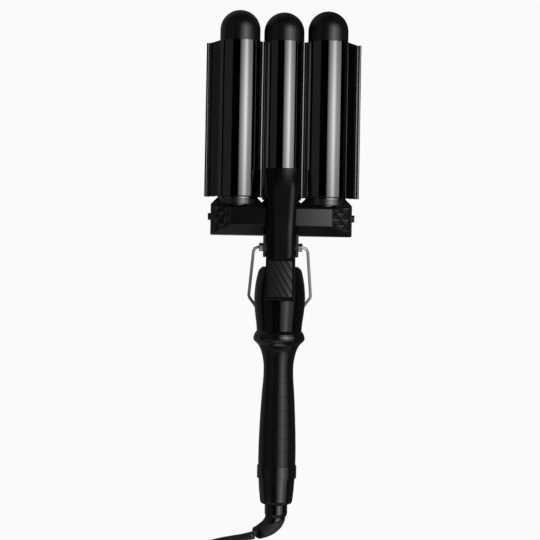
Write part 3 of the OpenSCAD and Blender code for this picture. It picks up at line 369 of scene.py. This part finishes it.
def tubeMesh(name, points, radius, sides):
    # a round skin along a line of points
    rings, last, side = [], len(points) - 1, None
    for i, p in enumerate(points):
        t = (points[min(i + 1, last)] - points[max(i - 1, 0)]).normalized()
        side = (t.cross(Vector((0, 0, 1))) if side is None else side - t * side.dot(t)).normalized()
        rings.append(roundRing(p, side, side.cross(t), radius, sides))
    return skinMesh(name, rings)


def lengthOf(points):
    return sum((b - a).length for a, b in zip(points, points[1:]))


def addCord():
    route = [place(*p) for p in cordRoute()]
    line = addObject("mainsCord", tubeMesh("mainsCord", route, cord["diameter"] / 2 / 1000, cord["sides"]))
    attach(line, "swivel")
    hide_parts("cord_lead", "cord_coil", "cord_tail")
    return line, route


mainsCord, cordLine = addCord()
print("cord length", round(lengthOf(cordLine), 4))


# the boot leaves the swivel straight, bends with the cord and ends in an open mouth, cut at a slant;
# the rings of its lip are (radius added, distance back from the mouth)
boot = {
    "line": [(-0.3, -10.2, 0), (-0.6, -11.6, 0), (-2.4, -15.0, -0.2), (-5.4, -18.4, -0.9),
             (-9.4, -21.3, -2.1), (-13, -23.4, -3.2), (-14.6, -24.1, -3.7)],
    "radii": [7.9, 7.9, 7.7, 7.0, 6.3, 5.6, 5.3], "steps": 6, "sides": 40,
    "mouthFacing": (-0.62, -0.38, 0.68), "slantFrom": 0.55, "mouthRadius": 4.1,
    "outerLip": [(0.1, 0.7), (0.0, 0.245), (-0.21, 0.0)],
    "innerLip": [(0.175, 0.0), (0.0, 0.28), (-0.2, 3.4)],
}

# the swivel's glossy sleeve over the boot's root, which ends at a slant
sleeve = {
    "line": [(-0.3, -10.2, 0), (-0.5, -11.4, 0), (-1.0, -13.0, -0.1), (-1.7, -14.6, -0.1),
             (-1.8, -15.1, -0.1)],
    "radii": [7.95, 8.15, 8.2, 8.15, 7.9], "facing": (0.15, -0.99, 0.0), "sides": 48,
}


def ringFacing(centre, out, radius, sides):
    # a ring in the frame, across the way out
    side = out.cross(Vector((0, 0, 1))).normalized()
    return [place(*p) for p in roundRing(centre, side, side.cross(out), radius, sides)]


def addBoot():
    b = boot
    line = smooth(b["line"], b["steps"])
    last = len(line) - 1
    facing = Vector(b["mouthFacing"]).normalized()

    def ringAt(i, radius, back=0.0):
        along = (line[min(i + 1, last)] - line[max(i - 1, 0)]).normalized()
        slant = ease((i / last - b["slantFrom"]) / (1 - b["slantFrom"]))
        out = along.lerp(facing, slant).normalized()
        return ringFacing(line[i] - out * back, out, radius, b["sides"])

    def radiusAt(i):
        t = i / b["steps"]
        k = min(int(t), len(b["radii"]) - 2)
        return b["radii"][k] + (b["radii"][k + 1] - b["radii"][k]) * (t - k)

    rings = [ringAt(i, radiusAt(i)) for i in range(last)]
    rings += [ringAt(last, radiusAt(last) + more, back) for more, back in b["outerLip"]]
    rings += [ringAt(last, b["mouthRadius"] + more, back) for more, back in b["innerLip"]]
    piece = addObject("cordBoot", skinMesh("cordBoot", rings))
    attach(piece, "swivel")
    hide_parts("cord_boot")
    return piece


def addSleeve():
    v, rings = sleeve, []
    for i, (point, radius) in enumerate(zip(v["line"], v["radii"])):
        out = Vector((0, -1, 0)).lerp(Vector(v["facing"]), i / (len(v["line"]) - 1)).normalized()
        rings.append(ringFacing(Vector(point), out, radius, v["sides"]))
    piece = addObject("bootSleeve", skinMesh("bootSleeve", rings))
    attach(piece, "swivel")
    return piece


# a strap round the coil's bundle at its left side, its end lapped over its start
tie = {
    "thickness": cord["tieThickness"], "clear": cord["tieClear"], "width": 12.0, "edge": 0.25,
    "inner": 1.2, "corner": 3.2, "cornerSteps": 8,
    "lap": 9.0, "lapRise": 0.9, "riseShare": 0.5, "lapSteps": 6,
}


def strapPath(left, right, low, high, corner, steps):
    # a rectangle with round corners, from the middle of its top, clockwise seen from the tool's tip
    middle = (left + right) / 2
    points = [(middle, high)]
    corners = [((right - corner, high - corner), 90), ((right - corner, low + corner), 0),
               ((left + corner, low + corner), -90), ((left + corner, high - corner), -180)]
    for (x, z), start in corners:
        for k in range(steps + 1):
            a = math.radians(start - 90 * k / steps)
            points.append((x + corner * math.cos(a), z + corner * math.sin(a)))
    return points + [(middle, high)]


def addTie():
    t, half, h, e = tie, tie["width"] / 2, tie["thickness"] / 2, tie["edge"]
    outer = cord["outer"] + cord["diameter"] / 2 + t["clear"]
    inner = cord["outer"] - cord["perLayer"] * cord["step"] - cord["diameter"] / 2 - t["inner"]
    low = t["thickness"] - tool["axisHeight"]
    high = cord["low"] + (cord["layers"] - 1) * cord["step"] + cord["diameter"] / 2 + t["clear"]
    line = strapPath(-outer - h, -inner + h, low - h, high + h, t["corner"], t["cornerSteps"])
    start = line[0][0]
    for k in range(1, t["lapSteps"] + 1):
        rise = t["lapRise"] * ease(k / t["lapSteps"] / t["riseShare"])
        line.append((start + t["lap"] * k / t["lapSteps"], high + h + rise))
    outline = [(-half + e, -h), (half - e, -h), (half, -h + e), (half, h - e), (half - e, h),
               (-half + e, h), (-half, h - e), (-half, -h + e)]
    rings = []
    for i, (x, z) in enumerate(line):
        ax, az = line[max(i - 1, 0)]
        bx, bz = line[min(i + 1, len(line) - 1)]
        along = Vector((bx - ax, 0, bz - az)).normalized()
        out = Vector((-along.z, 0, along.x))
        centre = Vector((cord["centreX"] + x, cord["centreY"], z))
        rings.append([place(*(centre + out * v + Vector((0, u, 0)))) for u, v in outline])
    piece = addObject("coilTie", skinMesh("coilTie", rings, smoothed=False))
    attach(piece, "swivel")
    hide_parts("coil_tie")
    return piece


# the plug: a ribbed sleeve that widens into a flat body with finger grips on its sides;
# its rings lie at distances or at shares of a rib, of a grip's pitch or of the end's rounding
plug = {
    "relief": 18.0, "reliefStart": 4.45, "reliefEnd": 7.0, "ribs": 6, "ribDeep": 0.7,
    "ribRings": [(0.0, 1.0), (0.1, 0.3), (0.3, 0.0), (0.6, 0.0), (0.78, 0.3), (0.86, 1.0)],
    "length": 32.0, "width": 26.0, "thickness": 16.0, "squareness": 3.2, "sides": 48,
    "neckThickness": 11.0, "neckShare": 0.97, "shoulder": 12.0,
    "backRings": [0.0, 0.4, 1.4, 3, 5, 7, 9], "backEdge": 1.4, "backSlope": 0.9,
    "grips": 5, "gripFrom": 10.0, "gripPitch": 3.0, "gripDeep": 0.7, "gripRings": [0.0, 0.22, 0.5, 0.72],
    "gripGroove": (0.2, 0.6), "faceFlat": 3.0, "round": 1.6, "roundRings": [1.0, 0.45, 0.12, 0.0],
    "bladePitch": 12.7, "bladeLength": 17.5, "bladeWidth": 6.35, "bladeThickness": 1.5, "bladeRoot": 0.5,
    "holeFromTip": 6.2, "holeRadius": 1.6, "holeSides": 28, "tipCut": 1.3,
}


def superRing(x, centre, halfWidth, halfHeight, squareness):
    # a rounded rectangle across the plug at x, round at squareness 2
    ring = []
    for k in range(plug["sides"]):
        a = 2 * math.pi * (k + 0.5) / plug["sides"]
        c, s = math.cos(a), math.sin(a)
        y = halfWidth * math.copysign(abs(c) ** (2 / squareness), c)
        z = halfHeight * math.copysign(abs(s) ** (2 / squareness), s)
        ring.append(place(x, centre.y + y, centre.z + z))
    return ring


def reliefRings(start):
    p, rings = plug, []
    for i in range(p["ribs"]):
        for share, drop in p["ribRings"]:
            along = p["relief"] / p["ribs"] * (i + share)
            wider = (p["reliefEnd"] - p["reliefStart"]) * along / p["relief"]
            r = p["reliefStart"] + wider - drop * p["ribDeep"]
            rings.append(superRing(start.x + along, start, r, r, 2.0))
    return rings


def bodyRings(start, bodyX):
    p, rings = plug, []
    spots = list(p["backRings"])
    for g in range(p["grips"]):
        spots += [p["gripFrom"] + p["gripPitch"] * (g + share) for share in p["gripRings"]]
    spots += [p["length"] - p["faceFlat"]] + [p["length"] - share * p["round"] for share in p["roundRings"]]
    for x in spots:
        grow = ease(x / p["shoulder"])
        high = (p["neckThickness"] + (p["thickness"] - p["neckThickness"]) * grow) / 2
        wide = p["width"] / 2 * (p["neckShare"] + (1 - p["neckShare"]) * grow)
        g = (x - p["gripFrom"]) / p["gripPitch"]
        if 0 <= g < p["grips"] and p["gripGroove"][0] < g % 1 < p["gripGroove"][1]:
            wide -= p["gripDeep"]
        cut, fromFace = 0.0, p["length"] - x
        if fromFace < p["round"]:
            cut = p["round"] - math.sqrt(max(0.0, p["round"] ** 2 - (p["round"] - fromFace) ** 2))
        if x < p["backEdge"]:
            cut = (p["backEdge"] - x) * p["backSlope"]
        rings.append(superRing(bodyX + x, start, wide - cut, high - cut, p["squareness"]))
    return rings


def addPlug():
    start = Vector(cord["tail"][-1])
    bodyX = start.x + plug["relief"]
    piece = addObject("plugBody", skinMesh("plugBody", reliefRings(start) + bodyRings(start, bodyX)))
    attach(piece, "swivel")
    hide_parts("plug_body")
    return piece, bodyX + plug["length"], start


def rayToEdge(start, way, a, b, slack=1e-4):
    # how far along the way the edge from a to b is met, or a negative number
    edge = Vector((b[0] - a[0], b[1] - a[1]))
    away = Vector((a[0] - start.x, a[1] - start.y))
    cross = way.x * edge.y - way.y * edge.x
    if abs(cross) < 1e-9:  # as good as parallel
        return -1.0
    far = (away.x * edge.y - away.y * edge.x) / cross
    share = (away.x * way.y - away.y * way.x) / cross
    return far if -slack <= share <= 1 + slack else -1.0


def bladeMesh(bm, x, y, z):
    # a blade lying along X from x, its plate in X and Z, with cut corners at the tip and a hole
    p = plug
    w, cut, long, root = p["bladeWidth"] / 2, p["tipCut"], p["bladeLength"], p["bladeRoot"]
    hole = Vector((long - p["holeFromTip"], 0))
    corners = [(-root, -w), (long - cut, -w), (long, -w + cut), (long, w - cut), (long - cut, w), (-root, w)]
    edges = list(zip(corners, corners[1:] + corners[:1]))
    angles = sorted({round(2 * math.pi * k / p["holeSides"], 4) for k in range(p["holeSides"])}
                    | {round((math.atan2(c[1] - hole.y, c[0] - hole.x)) % (2 * math.pi), 4) for c in corners})
    rims = []
    for side in (-1, 1):
        inner, outer = [], []
        for a in angles:
            way = Vector((math.cos(a), math.sin(a)))
            reach = min(r for r in (rayToEdge(hole, way, *edge) for edge in edges) if r > 0)
            for ring, r in ((inner, p["holeRadius"]), (outer, reach)):
                q = hole + way * r
                ring.append(bm.verts.new(place(x + q.x, y + side * p["bladeThickness"] / 2, z + q.y)))
        rims.append((inner, outer))
    n = len(angles)
    for k in range(n):
        m = (k + 1) % n
        for inner, outer in rims:
            bm.faces.new((inner[k], inner[m], outer[m], outer[k]))
        for low, high in zip(rims[0], rims[1]):
            bm.faces.new((low[k], low[m], high[m], high[k]))


def addBlades(faceX, start):
    mesh = bpy.data.meshes.new("plugBlades")
    bm = bmesh.new()
    for s in (-1, 1):
        bladeMesh(bm, faceX, start.y + s * plug["bladePitch"] / 2, start.z)
    bm.to_mesh(mesh)
    bm.free()
    faceOutward(mesh)
    piece = addObject("plugBlades", mesh)
    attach(piece, "swivel")
    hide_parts("plug_blades")
    return piece


cordBoot, bootSleeve, coilTie = addBoot(), addSleeve(), addTie()
plugBody, plugFace, plugStart = addPlug()
plugBlades = addBlades(plugFace, plugStart)
print("boot, tie and plug made")


# a bright metal rim round the lower end of each outer barrel
rims = {"pitch": 35.0, "from": 240.9, "to": 242.2, "inner": 15.95, "outer": 16.5, "edge": 0.2, "sides": 96}


def addRims():
    r, points, faces = rims, [], []
    start, end, out, edge = r["from"], r["to"], r["outer"], r["edge"]
    outline = [(r["inner"], start), (out - edge, start), (out, start + edge),
               (out, end - edge), (out - edge, end), (r["inner"], end)]
    n = len(outline)
    for s in (-1, 1):
        first = len(points)
        for k in range(r["sides"]):
            a = 2 * math.pi * k / r["sides"]
            for radius, y in outline:
                points.append(place(s * r["pitch"] + radius * math.sin(a), y, radius * math.cos(a))[:])
        for k in range(r["sides"]):
            here, there = first + k * n, first + (k + 1) % r["sides"] * n
            faces += [(here + j, here + (j + 1) % n, there + (j + 1) % n, there + j) for j in range(n)]
    mesh = bpy.data.meshes.new("barrelRims")
    mesh.from_pydata(points, [], faces)
    faceOutward(mesh)
    piece = addObject("barrelRims", mesh)
    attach(piece, "handle")
    return piece


barrelRims = addRims()
print("barrel rims made")


# effects that several finishes share, each a node group; sizes are in waves a metre
texture = {
    "grainDetail": 3.0, "grainRough": 0.6, "grainPatches": 90.0,
    "drawSqueeze": 0.012, "drawDetail": 4.0, "drawRough": 0.65, "drawStreaks": 160.0,
    "smudgeSize": 45.0, "smudgeDetail": 5.0, "smudgeRough": 0.6,
    "edgeSamples": 6, "edgeGain": 6.0, "chipSize": 700.0, "chipDetail": 3.0, "chipRough": 0.7,
}


def newGroup(name, ins, outs):
    group = bpy.data.node_groups.new(name, "ShaderNodeTree")
    for label, kind, value in ins:
        socket = group.interface.new_socket(name=label, in_out="INPUT", socket_type=kind)
        if value is not None:
            socket.default_value = value
    for label, kind in outs:
        group.interface.new_socket(name=label, in_out="OUTPUT", socket_type=kind)
    return group, group.nodes.new("NodeGroupInput").outputs, group.nodes.new("NodeGroupOutput").inputs


def noise(tree, coords, scale, detail=2.0, rough=0.5):
    node = tree.nodes.new("ShaderNodeTexNoise")
    node.inputs["Detail"].default_value = detail
    node.inputs["Roughness"].default_value = rough
    tree.links.new(coords, node.inputs["Vector"])
    if isinstance(scale, (int, float)):
        node.inputs["Scale"].default_value = scale
    else:
        tree.links.new(scale, node.inputs["Scale"])
    return node.outputs["Fac"]


def makeGrain():
    # fine moulded texture: the height of the pits, and a mask of the broad unevenness under it
    group, given, result = newGroup("mouldGrain", [("Size", "NodeSocketFloat", 2500.0)],
                                    [("Height", "NodeSocketFloat"), ("Patches", "NodeSocketFloat")])
    spot = ownPlace(group)
    fine = noise(group, spot, given["Size"], texture["grainDetail"], texture["grainRough"])
    group.links.new(fine, result["Height"])
    group.links.new(noise(group, spot, texture["grainPatches"]), result["Patches"])
    return group


def makeDrawLines():
    # faint lines along the extrusion, as the die leaves them
    group, given, result = newGroup("drawLines", [("Lines", "NodeSocketFloat", 900.0)],
                                    [("Height", "NodeSocketFloat"), ("Streaks", "NodeSocketFloat")])
    spot = ownPlace(group, (1.0, texture["drawSqueeze"], 1.0))
    lines = noise(group, spot, given["Lines"], texture["drawDetail"], texture["drawRough"])
    group.links.new(lines, result["Height"])
    group.links.new(noise(group, spot, texture["drawStreaks"]), result["Streaks"])
    return group


def makeHandling():
    # smudges from handling: a roughness that varies round its base
    group, given, result = newGroup("handling", [("Base", "NodeSocketFloat", 0.3),
                                                 ("Spread", "NodeSocketFloat", 0.08)],
                                    [("Roughness", "NodeSocketFloat")])
    t = texture
    smudge = noise(group, ownPlace(group), t["smudgeSize"], t["smudgeDetail"], t["smudgeRough"])
    spread = mathNode(group, "MULTIPLY", mathNode(group, "SUBTRACT", smudge, 0.5), given["Spread"])
    group.links.new(mathNode(group, "ADD", spread, given["Base"], clamp=True), result["Roughness"])
    return group


def makeEdges():
    # rounds every hard edge for the light, and masks the edges that hands wear first
    group, given, result = newGroup("softEdges", [("Reach", "NodeSocketFloat", 0.0004)],
                                    [("Normal", "NodeSocketVector"), ("Worn", "NodeSocketFloat")])
    bevel = group.nodes.new("ShaderNodeBevel")
    bevel.samples = texture["edgeSamples"]
    group.links.new(given["Reach"], bevel.inputs["Radius"])
    dot = group.nodes.new("ShaderNodeVectorMath")
    dot.operation = "DOT_PRODUCT"
    group.links.new(bevel.outputs[0], dot.inputs[0])
    group.links.new(group.nodes.new("ShaderNodeNewGeometry").outputs["Normal"], dot.inputs[1])
    away = mathNode(group, "SUBTRACT", 1.0, dot.outputs["Value"])
    chips = noise(group, ownPlace(group), texture["chipSize"], texture["chipDetail"], texture["chipRough"])
    bare = mathNode(group, "MULTIPLY", away, texture["edgeGain"], clamp=True)
    worn = mathNode(group, "MULTIPLY", bare, chips)
    group.links.new(bevel.outputs[0], result["Normal"])
    group.links.new(worn, result["Worn"])
    return group


def makeCrown():
    # a moulding that bulges slightly across its width: its normals lean outward, the more the further out
    group, given, result = newGroup("crown", [("Normal", "NodeSocketVector", None),
                                              ("Lean", "NodeSocketFloat", 3.0)],
                                    [("Normal", "NodeSocketVector")])
    lean = group.nodes.new("ShaderNodeCombineXYZ")
    across = split(group, ownPlace(group))["X"]
    group.links.new(mathNode(group, "MULTIPLY", across, given["Lean"]), lean.inputs["X"])
    both = group.nodes.new("ShaderNodeVectorMath")
    both.operation = "ADD"
    group.links.new(given["Normal"], both.inputs[0])
    group.links.new(lean.outputs[0], both.inputs[1])
    unit = group.nodes.new("ShaderNodeVectorMath")
    unit.operation = "NORMALIZE"
    group.links.new(both.outputs[0], unit.inputs[0])
    group.links.new(unit.outputs[0], result["Normal"])
    return group


# the thumb pad's own plane: a point on it by station and z, its slope in degrees, the heights between which
# a groove's floor turns into a land, the dark colour painted on the floors as their shade, and how much
# duller the floors are
padPlane = {
    "station": 194.0, "z": 24.5, "slope": 18.97, "floor": 0.1, "land": 0.45,
    "grooveShadeColor": 0.001, "duller": 0.6,
}


def makeGrooves():
    # tells the pad's raised lands from the floors of its grooves; the floors get painted shade through this
    # mask
    group, given, result = newGroup("padGrooves", [("Roughness", "NodeSocketFloat", 0.3)],
                                    [("Roughness", "NodeSocketFloat"), ("Land", "NodeSocketFloat")])
    a = math.radians(padPlane["slope"])
    foot = place(0, padPlane["station"], padPlane["z"])
    parts = split(group, ownPlace(group))
    y = mathNode(group, "MULTIPLY", mathNode(group, "SUBTRACT", parts["Y"], foot.y), math.sin(a))
    z = mathNode(group, "MULTIPLY", mathNode(group, "SUBTRACT", parts["Z"], foot.z), math.cos(a))
    land = mapRange(group, mathNode(group, "ADD", y, z), padPlane["floor"] / 1000, padPlane["land"] / 1000)
    duller = mathNode(group, "MULTIPLY", mathNode(group, "SUBTRACT", 1.0, land), padPlane["duller"])
    group.links.new(mathNode(group, "ADD", duller, given["Roughness"], clamp=True), result["Roughness"])
    group.links.new(land, result["Land"])
    return group


grainGroup, drawGroup, handlingGroup, edgeGroup = makeGrain(), makeDrawLines(), makeHandling(), makeEdges()
crownGroup, grooveGroup = makeCrown(), makeGrooves()


# colours are linear; reach and lift are in metres, lift being the depth of the texture; draw and grain are
# the sizes of lines and pits, and a finish has one of the two
finishes = {
    "jawCoat": dict(
        slot="jaw_aluminium", color=(0.118, 0.117, 0.118), worn=(0.2, 0.2, 0.21), rough=0.07, spread=0.04,
        metallic=1.0, tint=0.0, draw=1100.0, lift=0.0000015, reach=0.00035),
    "domeSatin": dict(
        slot="dome_plastic", color=(0.006, 0.006, 0.006), worn=(0.03, 0.03, 0.03), rough=0.3, spread=0.06,
        specular=0.5, grain=2600.0, lift=0.000004, reach=0.0004),
    "spreaderMill": dict(
        slot="spreader_aluminium", color=(0.7, 0.71, 0.72), worn=(0.85, 0.85, 0.86), rough=0.35, spread=0.1,
        metallic=1.0, draw=700.0, lift=0.000004, reach=0.0003),
    "sintered": dict(
        slot="ceramic", color=(0.72, 0.68, 0.58), worn=(0.85, 0.82, 0.75), rough=0.7, spread=0.1,
        grain=1800.0, lift=0.00001, reach=0.0003),
    "plainPlastic": dict(
        slot="plug_plastic", color=(0.04, 0.04, 0.04), worn=(0.08, 0.08, 0.08), rough=0.5, spread=0.1,
        grain=1500.0, lift=0.000008, reach=0.0004),
    "housingSatin": dict(
        slot="housing_plastic", color=(0.008, 0.008, 0.008), worn=(0.035, 0.035, 0.035), rough=0.2,
        spread=0.06, specular=0.5, grain=2400.0, lift=0.000006, reach=0.0012, crown=3.5),
    "leverSatin": dict(
        color=(0.003, 0.003, 0.003), worn=(0.03, 0.03, 0.03), rough=0.24, spread=0.06, specular=0.2,
        grain=2400.0, lift=0.000006, reach=0.0015),
    "collarSatin": dict(
        color=(0.012, 0.012, 0.012), worn=(0.04, 0.04, 0.04), rough=0.27, spread=0.06, specular=1.0,
        grain=2400.0, lift=0.000004, reach=0.0006),
    "padInlay": dict(
        color=(0.012, 0.012, 0.012), worn=(0.05, 0.05, 0.05), rough=0.32, spread=0.1, specular=0.8,
        grain=1300.0, lift=0.00002, reach=0.0003, crown=17.0, grooves=True),
    "coverSatin": dict(
        slot="cover_plastic", color=(0.01, 0.01, 0.01), worn=(0.04, 0.04, 0.04), rough=0.22, spread=0.08,
        specular=0.7, grain=2400.0, lift=0.000005, reach=0.0006, crown=3.5),
    "screwBlack": dict(
        slot="screw_black", color=(0.05, 0.05, 0.05), worn=(0.2, 0.2, 0.2), rough=0.35, spread=0.1,
        metallic=1.0, grain=1800.0, lift=0.000004, reach=0.0004),
    "screwSteel": dict(
        slot="screw_steel", color=(0.6, 0.6, 0.6), worn=(0.75, 0.75, 0.75), rough=0.25, spread=0.1,
        metallic=1.0, grain=900.0, lift=0.000003, reach=0.0004),
    "bracketSatin": dict(
        slot="bracket_metal", color=(0.02, 0.02, 0.021), worn=(0.25, 0.25, 0.25), rough=0.4, spread=0.1,
        grain=1700.0, lift=0.000005, reach=0.0006),
    "neckSteel": dict(
        slot="tube_metal", color=(0.18, 0.18, 0.18), worn=(0.4, 0.4, 0.4), rough=0.35, spread=0.1,
        metallic=1.0, draw=900.0, lift=0.000003, reach=0.0003),
    "springSteel": dict(
        slot="spring_steel", color=(0.5, 0.5, 0.5), worn=(0.6, 0.6, 0.6), rough=0.3, spread=0.1,
        metallic=1.0, draw=900.0, lift=0.000003, reach=0.0002),
    "headGloss": dict(
        slot="head_plastic", color=(0.004, 0.004, 0.0045), worn=(0.02, 0.02, 0.02), rough=0.06, spread=0.05,
        specular=0.35, grain=60.0, lift=0.00001, reach=0.0004),
    "ringGloss": dict(
        slot="ring_plastic", color=(0.006, 0.006, 0.006), worn=(0.02, 0.02, 0.02), rough=0.18, spread=0.08,
        specular=0.6, grain=2400.0, lift=0.000002, reach=0.0005),
    "gripRubber": dict(
        slot="grip_rubber", color=(0.008, 0.008, 0.008), worn=(0.03, 0.03, 0.03), rough=0.2, spread=0.08,
        specular=0.35, grain=2800.0, lift=0.000008, reach=0.0003),
    "corePlastic": dict(
        slot="core_plastic", color=(0.06, 0.06, 0.06), worn=(0.1, 0.1, 0.1), rough=0.55, spread=0.1,
        grain=1500.0, lift=0.000008, reach=0.0004),
    "boardMask": dict(
        slot="board", color=(0.01, 0.09, 0.04), worn=(0.1, 0.3, 0.15), rough=0.3, spread=0.1, grain=900.0,
        lift=0.000004, reach=0.0003),
    "smokedWindow": dict(
        slot="window", color=(0.012, 0.014, 0.016), worn=(0.05, 0.05, 0.05), rough=0.05, spread=0.04,
        specular=0.6, grain=40.0, lift=0.000004, reach=0.0003),
    "leadSheath": dict(
        slot="leads", color=(0.25, 0.03, 0.02), worn=(0.4, 0.1, 0.08), rough=0.5, spread=0.1, grain=1500.0,
        lift=0.000006, reach=0.0002),
    "socketPlastic": dict(
        slot="socket_plastic", color=(0.6, 0.57, 0.5), worn=(0.7, 0.68, 0.6), rough=0.5, spread=0.1,
        grain=1500.0, lift=0.000006, reach=0.0003),
    "buttonSatin": dict(
        slot="button_plastic", color=(0.05, 0.05, 0.05), worn=(0.12, 0.12, 0.12), rough=0.42, spread=0.1,
        grain=2400.0, lift=0.000006, reach=0.0006),
    "standChrome": dict(
        slot="stand_wire", color=(0.55, 0.55, 0.55), worn=(0.75, 0.75, 0.76), rough=0.3, spread=0.08,
        metallic=0.35, draw=1500.0, lift=0.000001, reach=0.0002),
    "swivelGloss": dict(
        slot="swivel_plastic", color=(0.004, 0.004, 0.004), worn=(0.02, 0.02, 0.02), rough=0.08, spread=0.05,
        specular=0.7, grain=60.0, lift=0.000006, reach=0.0009),
    "bootRubber": dict(
        slot="boot_rubber", color=(0.03, 0.03, 0.03), worn=(0.06, 0.06, 0.06), rough=0.5, spread=0.1,
        grain=2200.0, lift=0.00001, reach=0.0004),
    "cordRubber": dict(
        slot="cord_rubber", color=(0.022, 0.022, 0.022), worn=(0.03, 0.03, 0.03), rough=0.28, spread=0.1,
        specular=0.6, grain=1700.0, lift=0.000006, reach=0.0002),
    "tieRubber": dict(
        slot="tie_rubber", color=(0.015, 0.015, 0.015), worn=(0.04, 0.04, 0.04), rough=0.6, spread=0.1,
        grain=1500.0, lift=0.00001, reach=0.0003),
    "plugRubber": dict(
        slot="plug_rubber", color=(0.014, 0.014, 0.014), worn=(0.035, 0.035, 0.035), rough=0.4, spread=0.1,
        grain=2000.0, lift=0.000008, reach=0.0008),
    "rimMetal": dict(
        color=(0.16, 0.16, 0.165), worn=(0.7, 0.7, 0.7), rough=0.15, spread=0.06, metallic=1.0, draw=900.0,
        lift=0.000001, reach=0.0002),
    "bladeMetal": dict(
        slot="blade_metal", color=(0.68, 0.64, 0.54), worn=(0.8, 0.72, 0.5), rough=0.22, spread=0.1,
        metallic=1.0, draw=900.0, lift=0.000002, reach=0.0003),
}
mottle = (0.86, 1.14)  # how dark and how light the patches of a colour get


def useGroup(tree, group, **values):
    node = tree.nodes.new("ShaderNodeGroup")
    node.node_tree = group
    for label, value in values.items():
        node.inputs[label].default_value = value
    return node


def mixColor(tree, factor, a, b):
    node = tree.nodes.new("ShaderNodeMix")
    node.data_type = "RGBA"
    tree.links.new(factor, node.inputs["Factor"])
    for label, value in (("A", a), ("B", b)):
        if isinstance(value, tuple):
            node.inputs[label].default_value = value
        else:
            tree.links.new(value, node.inputs[label])
    return node.outputs["Result"]


def makeMaterial(name, f):
    mat = bpy.data.materials.new(name)
    mat.use_nodes = True
    tree = mat.node_tree
    shader = tree.nodes["Principled BSDF"]
    shader.inputs["Metallic"].default_value = f.get("metallic", 0.0)
    if "specular" in f:
        shader.inputs["Specular IOR Level"].default_value = f["specular"]
    if "tint" in f:
        shader.inputs["Specular Tint"].default_value = grey(f["tint"])

    edges = useGroup(tree, edgeGroup, Reach=f["reach"])
    hands = useGroup(tree, handlingGroup, Base=f["rough"], Spread=f["spread"])
    if "draw" in f:
        pattern = useGroup(tree, drawGroup, Lines=f["draw"])
        patches = pattern.outputs["Streaks"]
    else:
        pattern = useGroup(tree, grainGroup, Size=f["grain"])
        patches = pattern.outputs["Patches"]
    dark, light = (tuple(share * c for c in f["color"]) + (1,) for share in mottle)
    color = mixColor(tree, patches, dark, light)
    color = mixColor(tree, edges.outputs["Worn"], color, f["worn"] + (1,))
    rough, normal = hands.outputs["Roughness"], edges.outputs["Normal"]
    if "crown" in f:
        crown = useGroup(tree, crownGroup, Lean=f["crown"])
        tree.links.new(normal, crown.inputs["Normal"])
        normal = crown.outputs["Normal"]
    if "grooves" in f:
        grooves = useGroup(tree, grooveGroup)
        tree.links.new(rough, grooves.inputs["Roughness"])
        rough = grooves.outputs["Roughness"]
        # painted shade: the groove floors are darkened in the base colour, for the shade that falls in the
        # grooves
        color = mixColor(tree, grooves.outputs["Land"], grey(padPlane["grooveShadeColor"]), color)

    bump = tree.nodes.new("ShaderNodeBump")
    bump.inputs["Distance"].default_value = f["lift"]
    tree.links.new(pattern.outputs["Height"], bump.inputs["Height"])
    tree.links.new(normal, bump.inputs["Normal"])
    tree.links.new(color, shader.inputs["Base Color"])
    tree.links.new(rough, shader.inputs["Roughness"])
    tree.links.new(bump.outputs["Normal"], shader.inputs["Normal"])
    return mat


materials = {name: makeMaterial(name, f) for name, f in finishes.items()}
bySlot = {f["slot"]: materials[name] for name, f in finishes.items() if "slot" in f}

# nodes whose finish differs from the rest of their slot, and the finishes of the pieces made here
ownFinish = {
    "lever_arm": "leverSatin", "thumb_pad": "padInlay",
    "left_collar": "collarSatin", "right_collar": "collarSatin",
}
pieceFinish = [
    (mainsCord, "cordRubber"), (cordBoot, "bootRubber"), (coilTie, "tieRubber"), (plugBody, "plugRubber"),
    (plugBlades, "bladeMetal"), (bootSleeve, "swivelGloss"), (barrelRims, "rimMetal"),
]


def dressAll():
    slots = {row["node"]: row["material_slot"] for row in frame["record"]["subparts"]}
    for name, obj in nodes.items():
        obj.data.materials.clear()
        obj.data.materials.append(materials[ownFinish[name]] if name in ownFinish else bySlot[slots[name]])
    for piece, finish in pieceFinish:
        piece.data.materials.append(materials[finish])


dressAll()
print("materials made:", len(materials))
